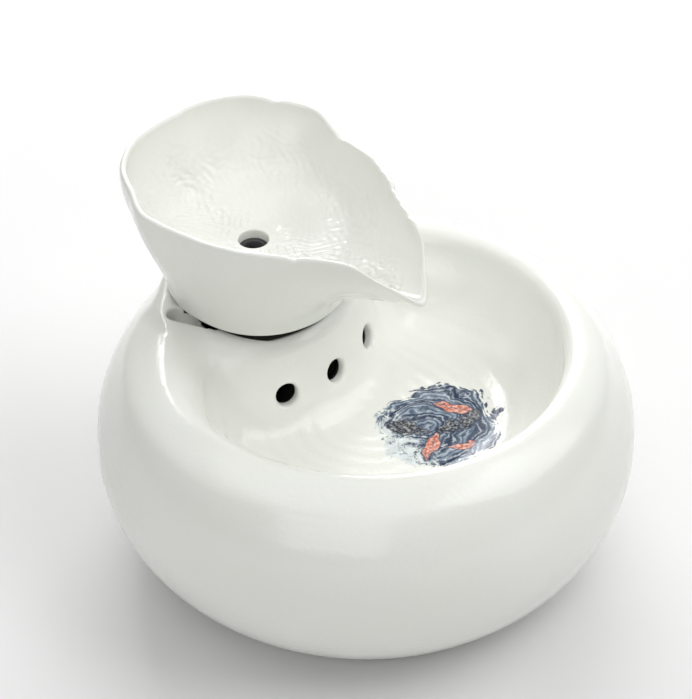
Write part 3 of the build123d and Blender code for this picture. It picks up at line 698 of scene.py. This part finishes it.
def rounded_block(low, high, power, rows, columns):
    """A block with rounded edges, |x/a|^n + |y/b|^n + |z/c|^n = 1, met by rays of even turn and rise."""
    low, high = np.asarray(low, float), np.asarray(high, float)
    latitude = np.linspace(-math.pi / 2, math.pi / 2, rows)[1:-1, None]
    longitude = np.linspace(0, 2 * math.pi, columns, endpoint=False)[None, :]
    flat = np.cos(latitude)
    ray = np.stack([flat * np.cos(longitude), flat * np.sin(longitude), np.sin(latitude) + 0 * longitude], -1)
    ray = np.concatenate([ray.reshape(-1, 3), [(0.0, 0.0, -1.0), (0.0, 0.0, 1.0)]])
    ray = ray / (np.abs(ray) ** power).sum(-1, keepdims=True) ** (1 / power)
    return (low + high) / 2 + ray * (high - low) / 2, capped_faces(rows - 2, columns)


# ---------------- materials
class Finish:
    """A material whose nodes are added and linked by short calls."""

    def __init__(self, name, roughness=0.5, **constants):
        self.material = bpy.data.materials.new(name)
        self.material.use_nodes = True
        self.tree = self.material.node_tree
        self.shader = self.tree.nodes["Principled BSDF"]
        self.shader.inputs["Roughness"].default_value = roughness
        for socket, value in constants.items():
            self.shader.inputs[socket.replace("_", " ")].default_value = value
        self.place = self.node("ShaderNodeTexCoord").outputs["Object"]

    def node(self, kind, values=None, **settings):
        """One node, with its settings, and its sockets set or linked by name or number."""
        made = self.tree.nodes.new(kind)
        for setting, value in settings.items():
            setattr(made, setting, value)
        for socket, value in (values or {}).items():
            if isinstance(value, bpy.types.NodeSocket):
                self.tree.links.new(value, made.inputs[socket])
            else:
                made.inputs[socket].default_value = value
        return made

    def math(self, operation, *values):
        """A sum of numbers or sockets."""
        return self.node("ShaderNodeMath", dict(enumerate(values)), operation=operation).outputs[0]

    def times(self, first, second):
        """The product of two numbers or sockets."""
        return self.math("MULTIPLY", first, second)

    def waves(self, value, pitch):
        """The sine of a value times a pitch."""
        return self.math("SINE", self.times(value, pitch))

    def vector(self, operation, *values):
        """A sum of vectors or sockets."""
        return self.node("ShaderNodeVectorMath", dict(enumerate(values)), operation=operation).outputs[0]

    def length(self, place):
        """How far a place is from zero."""
        return self.node("ShaderNodeVectorMath", {0: place}, operation="LENGTH").outputs[1]

    def axes(self, place):
        """The three numbers of a place."""
        return self.node("ShaderNodeSeparateXYZ", {0: place}).outputs

    def local(self, place, middle, turn, size=(1, 1, 1)):
        """A place on axes that are moved to a middle, turned and scaled."""
        values = {"Vector": place, "Location": middle, "Rotation": turn, "Scale": size}
        return self.node("ShaderNodeMapping", values, vector_type="TEXTURE").outputs[0]

    def ramp(self, value, low, high, start=0.0, end=1.0):
        """Runs smoothly from start to end as a value goes from low to high."""
        values = {0: value, 1: low, 2: high, 3: start, 4: end}
        return self.node("ShaderNodeMapRange", values, interpolation_type="SMOOTHSTEP").outputs[0]

    def noise(self, scale, detail=2.0, place=None, roughness=0.5):
        """Noise between about 0.3 and 0.7, with features one over scale metres wide."""
        values = {"Vector": place or self.place, "Scale": scale, "Detail": detail, "Roughness": roughness}
        return self.node("ShaderNodeTexNoise", values).outputs[0]

    def mix(self, share, first, second):
        """A colour between two colours or sockets."""
        values = {0: share}
        for socket, value in ((6, first), (7, second)):
            values[socket] = value if isinstance(value, bpy.types.NodeSocket) else (*value[:3], 1.0)
        return self.node("ShaderNodeMix", values, data_type="RGBA").outputs[2]

    def bump(self, height, distance, strength=1.0, under=None):
        """A bump of a height given in metres, on top of another one if there is one."""
        values = {"Height": height, "Distance": distance, "Strength": strength}
        if under is not None:
            values["Normal"] = under
        return self.node("ShaderNodeBump", values).outputs[0]

    def finish(self, colour=None, roughness=None, normal=None):
        """Links the results to the shader."""
        for socket, value in (("Base Color", colour), ("Roughness", roughness), ("Normal", normal)):
            if value is not None:
                self.tree.links.new(value, self.shader.inputs[socket])
        return self.material


def petal(finish, place, centre, turn, length, width):
    """How far inside a pointed petal a place is, 1 - |y| / w - (x / l)^2 on the petal's axes, and |y| / w."""
    along, across, _ = finish.axes(finish.local(place, (*centre, 0), (0, 0, turn), (length, width, 1)))
    across = finish.math("ABSOLUTE", across)
    ends = finish.times(along, along)
    return finish.math("SUBTRACT", 1.0, finish.math("ADD", ends, across)), across


def painted_pond(finish, glaze, colours):
    """A hand-painted patch on the basin floor: fine rings of water in indigo and slate, foam, and petals.

    Its axes have one at the patch's edge. The rings stand about a point inside it, on a place that noise
    has shifted, and the petals lie on the same place, so their outlines wander as a brush does.
    """
    flat = finish.vector("MULTIPLY", finish.local(finish.place, *PATCH), (1, 1, 0))
    wander = finish.node("ShaderNodeTexNoise", {"Vector": flat, "Scale": 1.7, "Detail": 4.0}).outputs[1]
    shifted = finish.vector("MULTIPLY_ADD", wander, (0.75, 0.75, 0.0), flat)
    ring = finish.length(finish.vector("SUBTRACT", shifted, (0.20, 0.55, 0.0)))
    broad, fine_rings = finish.waves(ring, 19.0), finish.waves(ring, 74.0)
    streak = finish.noise(8.0, 5.0, shifted, 0.65)
    water = finish.mix(finish.ramp(broad, -0.9, 0.9), colours.indigo, colours.slate_blue)
    hair = finish.times(finish.ramp(fine_rings, 0.0, 0.9), finish.ramp(streak, 0.38, 0.56))
    water = finish.mix(finish.times(hair, 0.8), water, (0.50, 0.56, 0.62))
    dark = finish.times(finish.ramp(fine_rings, -0.3, -0.95), finish.ramp(streak, 0.60, 0.44))
    water = finish.mix(finish.times(dark, 0.75), water, [0.5 * c for c in colours.indigo])
    foam = finish.math("ADD", finish.times(finish.axes(flat)[0], -0.30), streak)
    water = finish.mix(finish.ramp(foam, 0.60, 0.74), water, (0.74, 0.79, 0.79))

    speckle = finish.noise(20.0, 3.0, flat)
    paints = {
        "coral": finish.mix(finish.ramp(speckle, 0.42, 0.62), colours.coral, (0.82, 0.52, 0.42)),
        "charcoal": finish.mix(finish.ramp(speckle, 0.42, 0.72), (0.035, 0.040, 0.050), (0.45, 0.46, 0.46)),
    }
    for centre, turn, length, width, paint in PETALS:
        depth, side = petal(finish, shifted, centre, turn, length, width)
        water = finish.mix(finish.ramp(depth, -0.45, 0.0, 0.0, 0.85), water, colours.indigo)
        water = finish.mix(finish.ramp(depth, 0.0, 0.14), water, paints[paint])
        vein = finish.times(finish.ramp(side, 0.13, 0.04), finish.ramp(depth, 0.15, 0.3))
        water = finish.mix(finish.times(vein, 0.6), water, colours.indigo)

    edge = finish.length(flat)
    frayed = ((finish.noise(1.9, 3.0, flat), 0.5, 0.9), (fine_rings, 0.0, 0.035), (streak, 0.5, 0.22))
    for value, middle, amount in frayed:
        edge = finish.math("ADD", edge, finish.times(finish.math("SUBTRACT", value, middle), amount))
    above = finish.ramp(finish.axes(finish.place)[2], 0.0600, 0.0625)
    return finish.mix(finish.times(finish.ramp(edge, 0.98, 0.92), above), glaze, water)


def paint_hole_shade(finish, colour, shade_paint):
    """Painted shade in the return holes: near black, from a few millimetres behind their face to the chamber.
    """
    for bearing in map(math.radians, HOLE_BEARINGS):
        side, front = HOLE_FACE * math.sin(bearing), HOLE_CENTRE_Y - HOLE_FACE * math.cos(bearing)
        mouth = (side * MM, front * MM, HOLE_LEVEL * MM)
        local = finish.local(finish.place, mouth, (-math.atan(HOLE_SLOPE), 0, bearing))
        depth = finish.axes(local)[1]
        from_axis = finish.length(finish.vector("MULTIPLY", local, (1, 0, 1)))
        # painted shade: near black where the hole runs deep
        deep = finish.times(finish.ramp(from_axis, 0.0086, 0.0080), finish.ramp(depth, 0.0036, 0.0046))
        deep = finish.times(deep, finish.ramp(depth, 0.0300, 0.0290))
        colour = finish.mix(deep, colour, shade_paint)
    return colour


def paint_seat_shade(finish, colour, shade_paint, flat, height):
    """Painted shade on the seat: near black, out to the foot of the leaf bowl, which overhangs towards the
    spout.
    """
    from_chamber = finish.vector("SUBTRACT", flat, (0, CHAMBER_Y * MM, 0))
    forward = finish.axes(finish.vector("NORMALIZE", from_chamber))[1]
    overhang = finish.ramp(forward, 0.0, -1.0, 0.0, LEAF_OVERHANG * MM)
    reach = finish.math("SUBTRACT", finish.length(from_chamber), overhang)
    # painted shade: the seat is near black where the leaf's foot shades it
    seat = finish.times(finish.ramp(reach, 0.0391, 0.0387), finish.ramp(height, 0.1068, 0.1076))
    return finish.mix(seat, colour, shade_paint)


def glaze(name, colours, painted):
    """Glossy off-white glaze: it pools a little in colour and has faint waves and peel.

    The body's has the painted patch, ring marks on the basin floor, painted shade in near black deep in the
    holes and on the seat, and a bare foot. The leaf bowl's has painted shade in near black under its foot.
    """
    gloss = colours.glaze_gloss
    finish = Finish(name, gloss, IOR=1.52)
    height = finish.axes(finish.place)[2]
    thicker = [0.5 * (a + b) for a, b in zip(colours.glaze, colours.glaze_pool)]
    colour = finish.mix(finish.ramp(finish.noise(14.0), 0.35, 0.65), colours.glaze, thicker)
    specks = finish.ramp(finish.noise(900.0, 1.0), 0.80, 0.86, 0.0, 0.35)
    colour = finish.mix(specks, colour, (0.42, 0.38, 0.30))
    normal = finish.bump(finish.noise(34.0, 1.0), 0.0010, 0.45)
    normal = finish.bump(finish.noise(380.0), 0.00016, 0.7, normal)
    rough = finish.ramp(finish.noise(60.0, 3.0), 0.3, 0.7, gloss - 0.03, gloss + 0.05)
    if not painted:
        # painted shade: a thin band of the leaf's underside at its foot is near black, for the dark seam
        low = LEAF_FOOT * MM
        seat = finish.ramp(height, low + 0.0016, low + 0.0012)
        seat = finish.times(seat, finish.ramp(height, low - 0.0005, low))
        return finish.finish(finish.mix(seat, colour, colours.painted_hollow_shade), rough, normal)

    flat = finish.vector("MULTIPLY", finish.place, (1, 1, 0))
    wobble = finish.math("MULTIPLY_ADD", finish.noise(22.0, 1.0), 0.006)
    ring_marks = finish.waves(finish.math("ADD", finish.length(flat), wobble), 780.0)
    floor = finish.times(finish.ramp(height, 0.060, 0.064), finish.ramp(height, 0.082, 0.070))
    normal = finish.bump(finish.times(ring_marks, floor), 0.00010, 0.5, normal)
    colour = painted_pond(finish, colour, colours)
    # painted shade in the holes and on the seat
    colour = paint_hole_shade(finish, colour, colours.painted_hollow_shade)
    colour = paint_seat_shade(finish, colour, colours.painted_hollow_shade, flat, height)
    foot = finish.ramp(height, 0.0022, 0.0012)
    clay = finish.mix(finish.noise(420.0, 4.0), colours.clay, [0.8 * c for c in colours.clay])
    colour = finish.mix(foot, colour, clay)
    rough = finish.node("ShaderNodeMix", {0: foot, 2: rough, 3: 0.85}, data_type="FLOAT").outputs[0]
    normal = finish.bump(finish.times(finish.noise(700.0, 3.0), foot), 0.0004, 0.8, normal)
    return finish.finish(colour, rough, normal)


def lighter(colour, times, more):
    """A colour times a number, plus a little, and never above one."""
    return [min(1.0, c * times + more) for c in colour]


def moulded_plastic(name, colour, roughness=0.42, grain=1400.0):
    """Moulded plastic: fine spark-eroded grain, faint flow marks and rubbed, smoother patches."""
    finish = Finish(name, roughness)
    tint = finish.mix(finish.ramp(finish.noise(45.0, 3.0), 0.35, 0.65), colour, lighter(colour, 1.25, 0.006))
    rough = finish.ramp(finish.noise(120.0, 4.0), 0.35, 0.65, roughness - 0.08, roughness + 0.1)
    return finish.finish(tint, rough, finish.bump(finish.noise(grain), 0.00006, 0.7))


def soft_rubber(name, colour, roughness=0.55):
    """Rubber: satin, with a slight bloom on it and a very fine skin."""
    finish = Finish(name, roughness)
    bloom = finish.ramp(finish.noise(80.0, 5.0), 0.4, 0.7)
    rough = finish.ramp(bloom, 0.0, 1.0, roughness - 0.06, roughness + 0.12)
    skin = finish.bump(finish.noise(600.0, 3.0), 0.00008, 0.6)
    return finish.finish(finish.mix(bloom, colour, lighter(colour, 1.15, 0.03)), rough, skin)


def open_foam(name, colour):
    """Open-cell foam: pores painted dark as shade in the cells, struts painted lighter as light on them, and
    bumps deep enough to break up the surface.
    """
    finish = Finish(name, 0.95)
    cells = finish.node("ShaderNodeTexVoronoi", {"Vector": finish.place, "Scale": 1150.0, "Randomness": 0.9})
    pore = finish.ramp(cells.outputs["Distance"], 0.25, 0.62)
    # painted shade in the pores and painted light on the struts
    tint = finish.mix(pore, [c * 0.3 for c in colour], lighter(colour, 1.8, 0.01))
    normal = finish.bump(pore, 0.0005)
    return finish.finish(tint, None, finish.bump(finish.noise(260.0, 3.0), 0.0004, 0.6, normal))


def wound_copper(name):
    """Enamelled copper wire: turns side by side along the coil's axis, each a small round bead, with painted
    shade between the turns and a painted highlight on their crowns.
    """
    finish = Finish(name, 0.28, Metallic=1.0)
    along, _, height = finish.axes(finish.place)
    lean = finish.math("MULTIPLY_ADD", height, 0.03)
    bead = finish.ramp(finish.waves(finish.math("ADD", along, lean), 14000.0), -1.0, 1.0)
    # painted shade between the turns and painted highlight on their crowns
    tint = finish.mix(bead, (0.30, 0.10, 0.04), (0.80, 0.36, 0.17))
    tint = finish.mix(finish.ramp(finish.noise(300.0, 3.0), 0.5, 0.7, 0.0, 0.4), tint, (0.55, 0.20, 0.08))
    return finish.finish(tint, None, finish.bump(bead, 0.00012))


def stacked_steel(name):
    """Stacked laminations: thin sheets across the Y axis, with brushed faces and dark seams."""
    finish = Finish(name, 0.38, Metallic=1.0)
    seam = finish.ramp(finish.waves(finish.axes(finish.place)[1], 12566.0), 0.55, 0.95)
    tint = finish.mix(seam, (0.50, 0.50, 0.51), (0.10, 0.09, 0.09))
    brushed = finish.node("ShaderNodeMapping", {"Vector": finish.place, "Scale": (1, 1, 12)}).outputs[0]
    dull = finish.ramp(finish.noise(160.0, 4.0, brushed), 0.4, 0.7, 0.0, 0.5)
    tint = finish.mix(dull, tint, (0.34, 0.33, 0.32))
    rough = finish.ramp(finish.noise(240.0, 3.0, brushed), 0.3, 0.7, 0.3, 0.5)
    return finish.finish(tint, rough, finish.bump(seam, 0.00006, 0.8))


def ground_ceramic(name, colour, roughness):
    """Sintered and ground ceramic or ferrite: fine grinding rings about the rotor's axis and tiny pits, painted
    darker as shade inside them.
    """
    finish = Finish(name, roughness)
    lowered = finish.vector("ADD", finish.place, (0, 0, -ROTOR_LEVEL * MM))
    from_axis = finish.vector("MULTIPLY", lowered, (1, 0, 1))
    rings = finish.waves(finish.length(from_axis), 20000.0)
    pits = finish.ramp(finish.noise(1500.0), 0.60, 0.72)
    # painted shade: the pits are darker
    tint = finish.mix(pits, colour, [c * 0.55 for c in colour])
    bright = finish.ramp(finish.noise(90.0, 3.0), 0.4, 0.7, 0.0, 0.4)
    tint = finish.mix(bright, tint, lighter(colour, 1.3, 0.01))
    normal = finish.bump(rings, 0.00001, 0.5)
    normal = finish.bump(finish.math("SUBTRACT", 1.0, pits), 0.00005, 0.6, normal)
    rough = finish.ramp(finish.noise(200.0, 3.0), 0.3, 0.7, roughness - 0.05, roughness + 0.1)
    return finish.finish(tint, rough, normal)


# ---------------- operators, one for each piece or group
class FOUNTAIN_OT_body(bpy.types.Operator):
    """Makes the glazed body with its basin, pump chamber, return holes, groove and foot"""

    bl_idname = "fountain.body"
    bl_label = "Glazed body"

    def execute(self, context):
        shape, colours = context.scene.fountain_shape, context.scene.fountain_finish
        sizes = [value / MM for value in (shape.lip_round, shape.partition_blend, shape.hole_edge)]
        points, faces, normals = body_mesh(*sizes)
        made = add_mesh("glazed_body", points, faces, glaze("painted_glaze", colours, True), normals)
        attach(made, "base")
        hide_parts("base_bowl", "pump_well")
        return {"FINISHED"}


class FOUNTAIN_OT_leaf(bpy.types.Operator):
    """Makes the leaf-shaped upper bowl with its spout and water hole"""

    bl_idname = "fountain.leaf"
    bl_label = "Leaf bowl"

    def execute(self, context):
        shape, colours = context.scene.fountain_shape, context.scene.fountain_finish
        points = leaf_profiles(shape.leaf_columns, shape.leaf_lip / MM, shape.leaf_fold, shape.relief / MM)
        faces = grid_faces(points.shape[0], points.shape[1], close_rows=True)
        finish = glaze("leaf_glaze", colours, False)
        made = add_mesh("leaf_shell", points.reshape(-1, 3), faces, finish, sharp=50)
        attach(made, "leaf")
        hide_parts("leaf_bowl")
        return {"FINISHED"}


class FOUNTAIN_OT_foam(bpy.types.Operator):
    """Makes the curved foam filter at the chamber's end of the return holes and the foam block in the intake"""

    bl_idname = "fountain.foam"
    bl_label = "Foam pads"

    def execute(self, context):
        low, high = box_mm("return_filter")
        # a block in turn, radius and height, bent round the chamber's axis
        corners = np.array([(-1, FILTER_INNER, low[2] + 0.1), (1, FILTER_OUTER, high[2] - 0.1)])
        corners[:, 0] *= math.radians(FILTER_HALF_TURN)
        points, faces = rounded_block(*corners, 7.0, 72, 144)
        turn, reach, z = points.T
        reach = reach + 0.12 * np.sin(9.0 * turn + 0.4 * z) * np.cos(0.5 * z)
        curved = np.stack([reach * np.sin(turn), CHAMBER_Y - reach * np.cos(turn), z], -1)
        pad = add_mesh("filter_pad", curved, faces, open_foam("carbon_foam_cells", (0.075, 0.075, 0.08)))
        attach(pad, "base")
        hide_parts("return_filter")

        low, high = box_mm("intake_sponge")
        points, faces = rounded_block(low + 0.05, high - 0.05, 8.0, 48, 96)
        points[:, 1] += 0.05 * np.sin(0.9 * points[:, 0]) * np.cos(0.8 * points[:, 2])
        sponge = add_mesh("sponge_block", points, faces, open_foam("black_foam_cells", (0.03, 0.03, 0.033)))
        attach(sponge, "base")
        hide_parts("intake_sponge")
        return {"FINISHED"}


def cup_profile(radius, height):
    """A suction cup from the top of its stem to the roof of its hollow, with a flared skirt."""
    swing = np.linspace(0, math.pi / 2, 9)
    skirt = np.stack([radius - 3.2 * np.sin(swing), 0.6 + 3.0 * (1 - np.cos(swing))], -1)
    hollow = np.stack([(radius - 0.8) * np.cos(swing), 2.2 * np.sin(swing)], -1)
    stem = [(0, height), (2.2, height), (2.6, height - 0.4)]
    rim = [(radius, 0.25), (radius - 0.3, 0.0)]
    return [*stem, *skirt[::-1].tolist(), *rim, *hollow[:-1].tolist(), (0, 2.2)]


def tube_profile(inner, outer, length):
    """The section of a tube's wall, with its four corners cut, and rings along it for the bake."""
    rings = (0.2, 0.4, 0.6, 0.8)
    foot = [(inner, 0.4), (inner + 0.3, 0), (outer - 0.3, 0), (outer, 0.4)]
    top = [(outer, length - 0.4), (outer - 0.3, length), (inner + 0.3, length), (inner, length - 0.4)]
    up = [(outer, share * length) for share in rings]
    down = [(inner, share * length) for share in reversed(rings)]
    return [*foot, *up, *top, *down]


def seal_profile(height):
    """The section of the seal: three soft lips outside and a plain bore."""
    rise = np.linspace(0, 1, 25)
    lips = np.stack([6.72 + 0.26 * np.cos(6 * math.pi * rise), height * rise], -1)
    return [*lips.tolist(), (6.3, height), (6.07, height - 0.25), (6.07, 0.25), (6.3, 0.0)]


class FOUNTAIN_OT_rubber(bpy.types.Operator):
    """Makes the four suction cups, the riser tube and its seal as turned soft pieces"""

    bl_idname = "fountain.rubber"
    bl_label = "Cups, tube and seal"

    def execute(self, context):
        low, high = box_mm("suction_cups")
        profile = cup_profile(CUP_RADIUS, high[2] - low[2])
        places = [
            (x, y, low[2])
            for x in (low[0] + CUP_RADIUS, high[0] - CUP_RADIUS)
            for y in (low[1] + CUP_RADIUS, high[1] - CUP_RADIUS)
        ]
        cups = [capped_turning(profile, place, 64) for place in places]
        points = np.concatenate([points for points, _ in cups])
        faces = np.concatenate([faces + len(cups[0][0]) * number for number, (_, faces) in enumerate(cups)])
        rubber = soft_rubber("cup_rubber", (0.035, 0.035, 0.037))
        made = add_mesh("cup_set", points, faces, rubber, sharp=50)
        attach(made, "base")
        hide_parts("suction_cups")

        hose = soft_rubber("hose_rubber", (0.03, 0.03, 0.032), 0.42)
        low, high = box_mm("riser_tube")
        profile = tube_profile(TUBE_INNER, TUBE_OUTER, high[2] - low[2] + SEAL_RAISE)
        wall = closed_turning(profile, (0, CHAMBER_Y, low[2]), 96)
        made = add_mesh("tube_wall", *wall, hose, sharp=50)
        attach(made, "base")
        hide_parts("riser_tube")

        low, high = box_mm("leaf_seal")
        ring = closed_turning(seal_profile(high[2] - low[2]), (0, CHAMBER_Y, low[2] + SEAL_RAISE), 96)
        made = add_mesh("seal_ring", *ring, hose, sharp=60)
        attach(made, "leaf_pivot")
        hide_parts("leaf_seal")
        return {"FINISHED"}


class FOUNTAIN_OT_pump(bpy.types.Operator):
    """Finishes the solids of the pump: plastics, resin, rubber, steel, copper, ferrite and ceramic"""

    bl_idname = "fountain.pump"
    bl_label = "Pump finishes"

    def execute(self, context):
        shell = moulded_plastic("pump_shell_grain", (0.022, 0.023, 0.026))
        rubber = soft_rubber("seal_rubber", (0.03, 0.03, 0.032))
        finishes = {
            "pump_housing": shell,
            "volute_cover": shell,
            "intake_grille": shell,
            "potting_cover": moulded_plastic("potting_resin_skin", (0.02, 0.02, 0.024), 0.2, 300.0),
            "flow_dial": moulded_plastic("dial_grain", (0.16, 0.17, 0.18), 0.4),
            "impeller": moulded_plastic("impeller_acetal", (0.76, 0.76, 0.73), 0.28, 900.0),
            "coil_bobbin": moulded_plastic("bobbin_nylon_skin", (0.62, 0.60, 0.50), 0.45),
            "cord_gland": rubber,
            "volute_seal": rubber,
            "rear_bush": rubber,
            "front_bush": rubber,
            "coil_winding": wound_copper("enamelled_copper"),
            "stator_core": stacked_steel("stacked_laminations"),
            "rotor_magnet": ground_ceramic("ground_ferrite", (0.06, 0.06, 0.064), 0.42),
            "pump_shaft": ground_ceramic("polished_ceramic", (0.82, 0.82, 0.80), 0.12),
        }
        for node, material in finishes.items():
            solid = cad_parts[node]
            solid.data.materials.clear()
            solid.data.materials.append(material)
        return {"FINISHED"}


def placed(name, data, place):
    """A light or camera, in the scene and at a place."""
    made = bpy.data.objects.new(name, data)
    made.location = place
    bpy.context.scene.collection.objects.link(made)
    return made


def soft_box(name, place, target, size, power):
    """A rectangular soft light at a place, aimed at a target, its size in metres and its power in watts."""
    light = bpy.data.lights.new(name, "AREA")
    light.shape = "RECTANGLE"
    light.size, light.size_y = size
    light.energy = power
    made = placed(name, light, place)
    made.rotation_euler = (Vector(target) - Vector(place)).to_track_quat("-Z", "Y").to_euler()


class FOUNTAIN_OT_stage(bpy.types.Operator):
    """Sets up the floor, the soft lights and the camera"""

    bl_idname = "fountain.stage"
    bl_label = "Floor, light and camera"

    def execute(self, context):
        scene, stage = context.scene, context.scene.fountain_stage
        azimuth, elevation = (math.radians(angle) for angle in VIEW_ANGLES)
        right = Vector((math.cos(azimuth), math.sin(azimuth), 0))
        back = Vector((right.y * math.cos(elevation), -right.x * math.cos(elevation), math.sin(elevation)))
        up = back.cross(right)
        lens = bpy.data.cameras.new("studio_camera")
        lens.lens, lens.sensor_width = LENS, SENSOR
        lens.clip_start, lens.clip_end = 0.02, 50
        camera = placed("studio_camera", lens, Vector(VIEW_TARGET) + back * VIEW_DISTANCE)
        aim = (-back - right * VIEW_LEFT + up * VIEW_UP).normalized()
        side = aim.cross(up).normalized()
        axes = Matrix((side, side.cross(aim), -aim)).transposed().to_4x4()
        camera.matrix_world = Matrix.Translation(camera.location) @ axes
        scene.camera = camera

        paint = Finish("studio_floor", 0.9, Base_Color=(*stage.floor, 1.0)).finish()
        corners = np.array([(-1, -1), (1, -1), (1, 1), (-1, 1)]) * FLOOR_REACH
        points = np.concatenate([corners, np.full((4, 1), -FLOOR_DROP)], 1)
        plane = add_mesh("studio_floor", points, np.array([[0, 1, 2, 3]]), paint)

        scene.world = bpy.data.worlds.new("studio_sky")
        scene.world.use_nodes = True
        sky = scene.world.node_tree.nodes["Background"].inputs
        sky["Color"].default_value = (1.0, 1.0, 1.0, 1.0)
        sky["Strength"].default_value = stage.sky
        scene.view_settings.view_transform = "Standard"
        for name, place, target, size, share in SOFT_BOXES:
            soft_box(name, place, target, size, share * stage.key)
        return {"FINISHED"}


class FOUNTAIN_PT_panel(bpy.types.Panel):
    """Lists the fountain's pieces and what can be changed"""

    bl_idname = "FOUNTAIN_PT_panel"
    bl_label = "Pet water fountain"
    bl_space_type = "VIEW_3D"
    bl_region_type = "UI"
    bl_category = "Fountain"

    def draw(self, context):
        for group in (getattr(context.scene, name) for name in GROUPS):
            box = self.layout.box()
            for name in group.bl_rna.properties.keys():
                if name not in ("rna_type", "name"):
                    box.prop(group, name)
        for operator in OPERATORS:
            self.layout.operator(operator.bl_idname)


GROUPS = {"fountain_shape": FountainShape, "fountain_finish": FountainFinish, "fountain_stage": FountainStage}
OPERATORS = (
    FOUNTAIN_OT_stage,
    FOUNTAIN_OT_body,
    FOUNTAIN_OT_leaf,
    FOUNTAIN_OT_foam,
    FOUNTAIN_OT_rubber,
    FOUNTAIN_OT_pump,
)


def register():
    """Adds the classes and hangs the property groups on the scene."""
    for item in (*GROUPS.values(), *OPERATORS, FOUNTAIN_PT_panel):
        bpy.utils.register_class(item)
    for name, group in GROUPS.items():
        setattr(bpy.types.Scene, name, PointerProperty(type=group))


def unregister():
    """Takes them away again."""
    for name in GROUPS:
        delattr(bpy.types.Scene, name)
    for item in (FOUNTAIN_PT_panel, *reversed(OPERATORS), *reversed(GROUPS.values())):
        bpy.utils.unregister_class(item)


def main():
    """Builds everything in order."""
    register()
    for operator in OPERATORS:
        area, name = operator.bl_idname.split(".")
        if getattr(getattr(bpy.ops, area), name)() != {"FINISHED"}:
            raise RuntimeError(f"{operator.bl_idname} didn't finish")


if __name__ == "__main__":
    main()
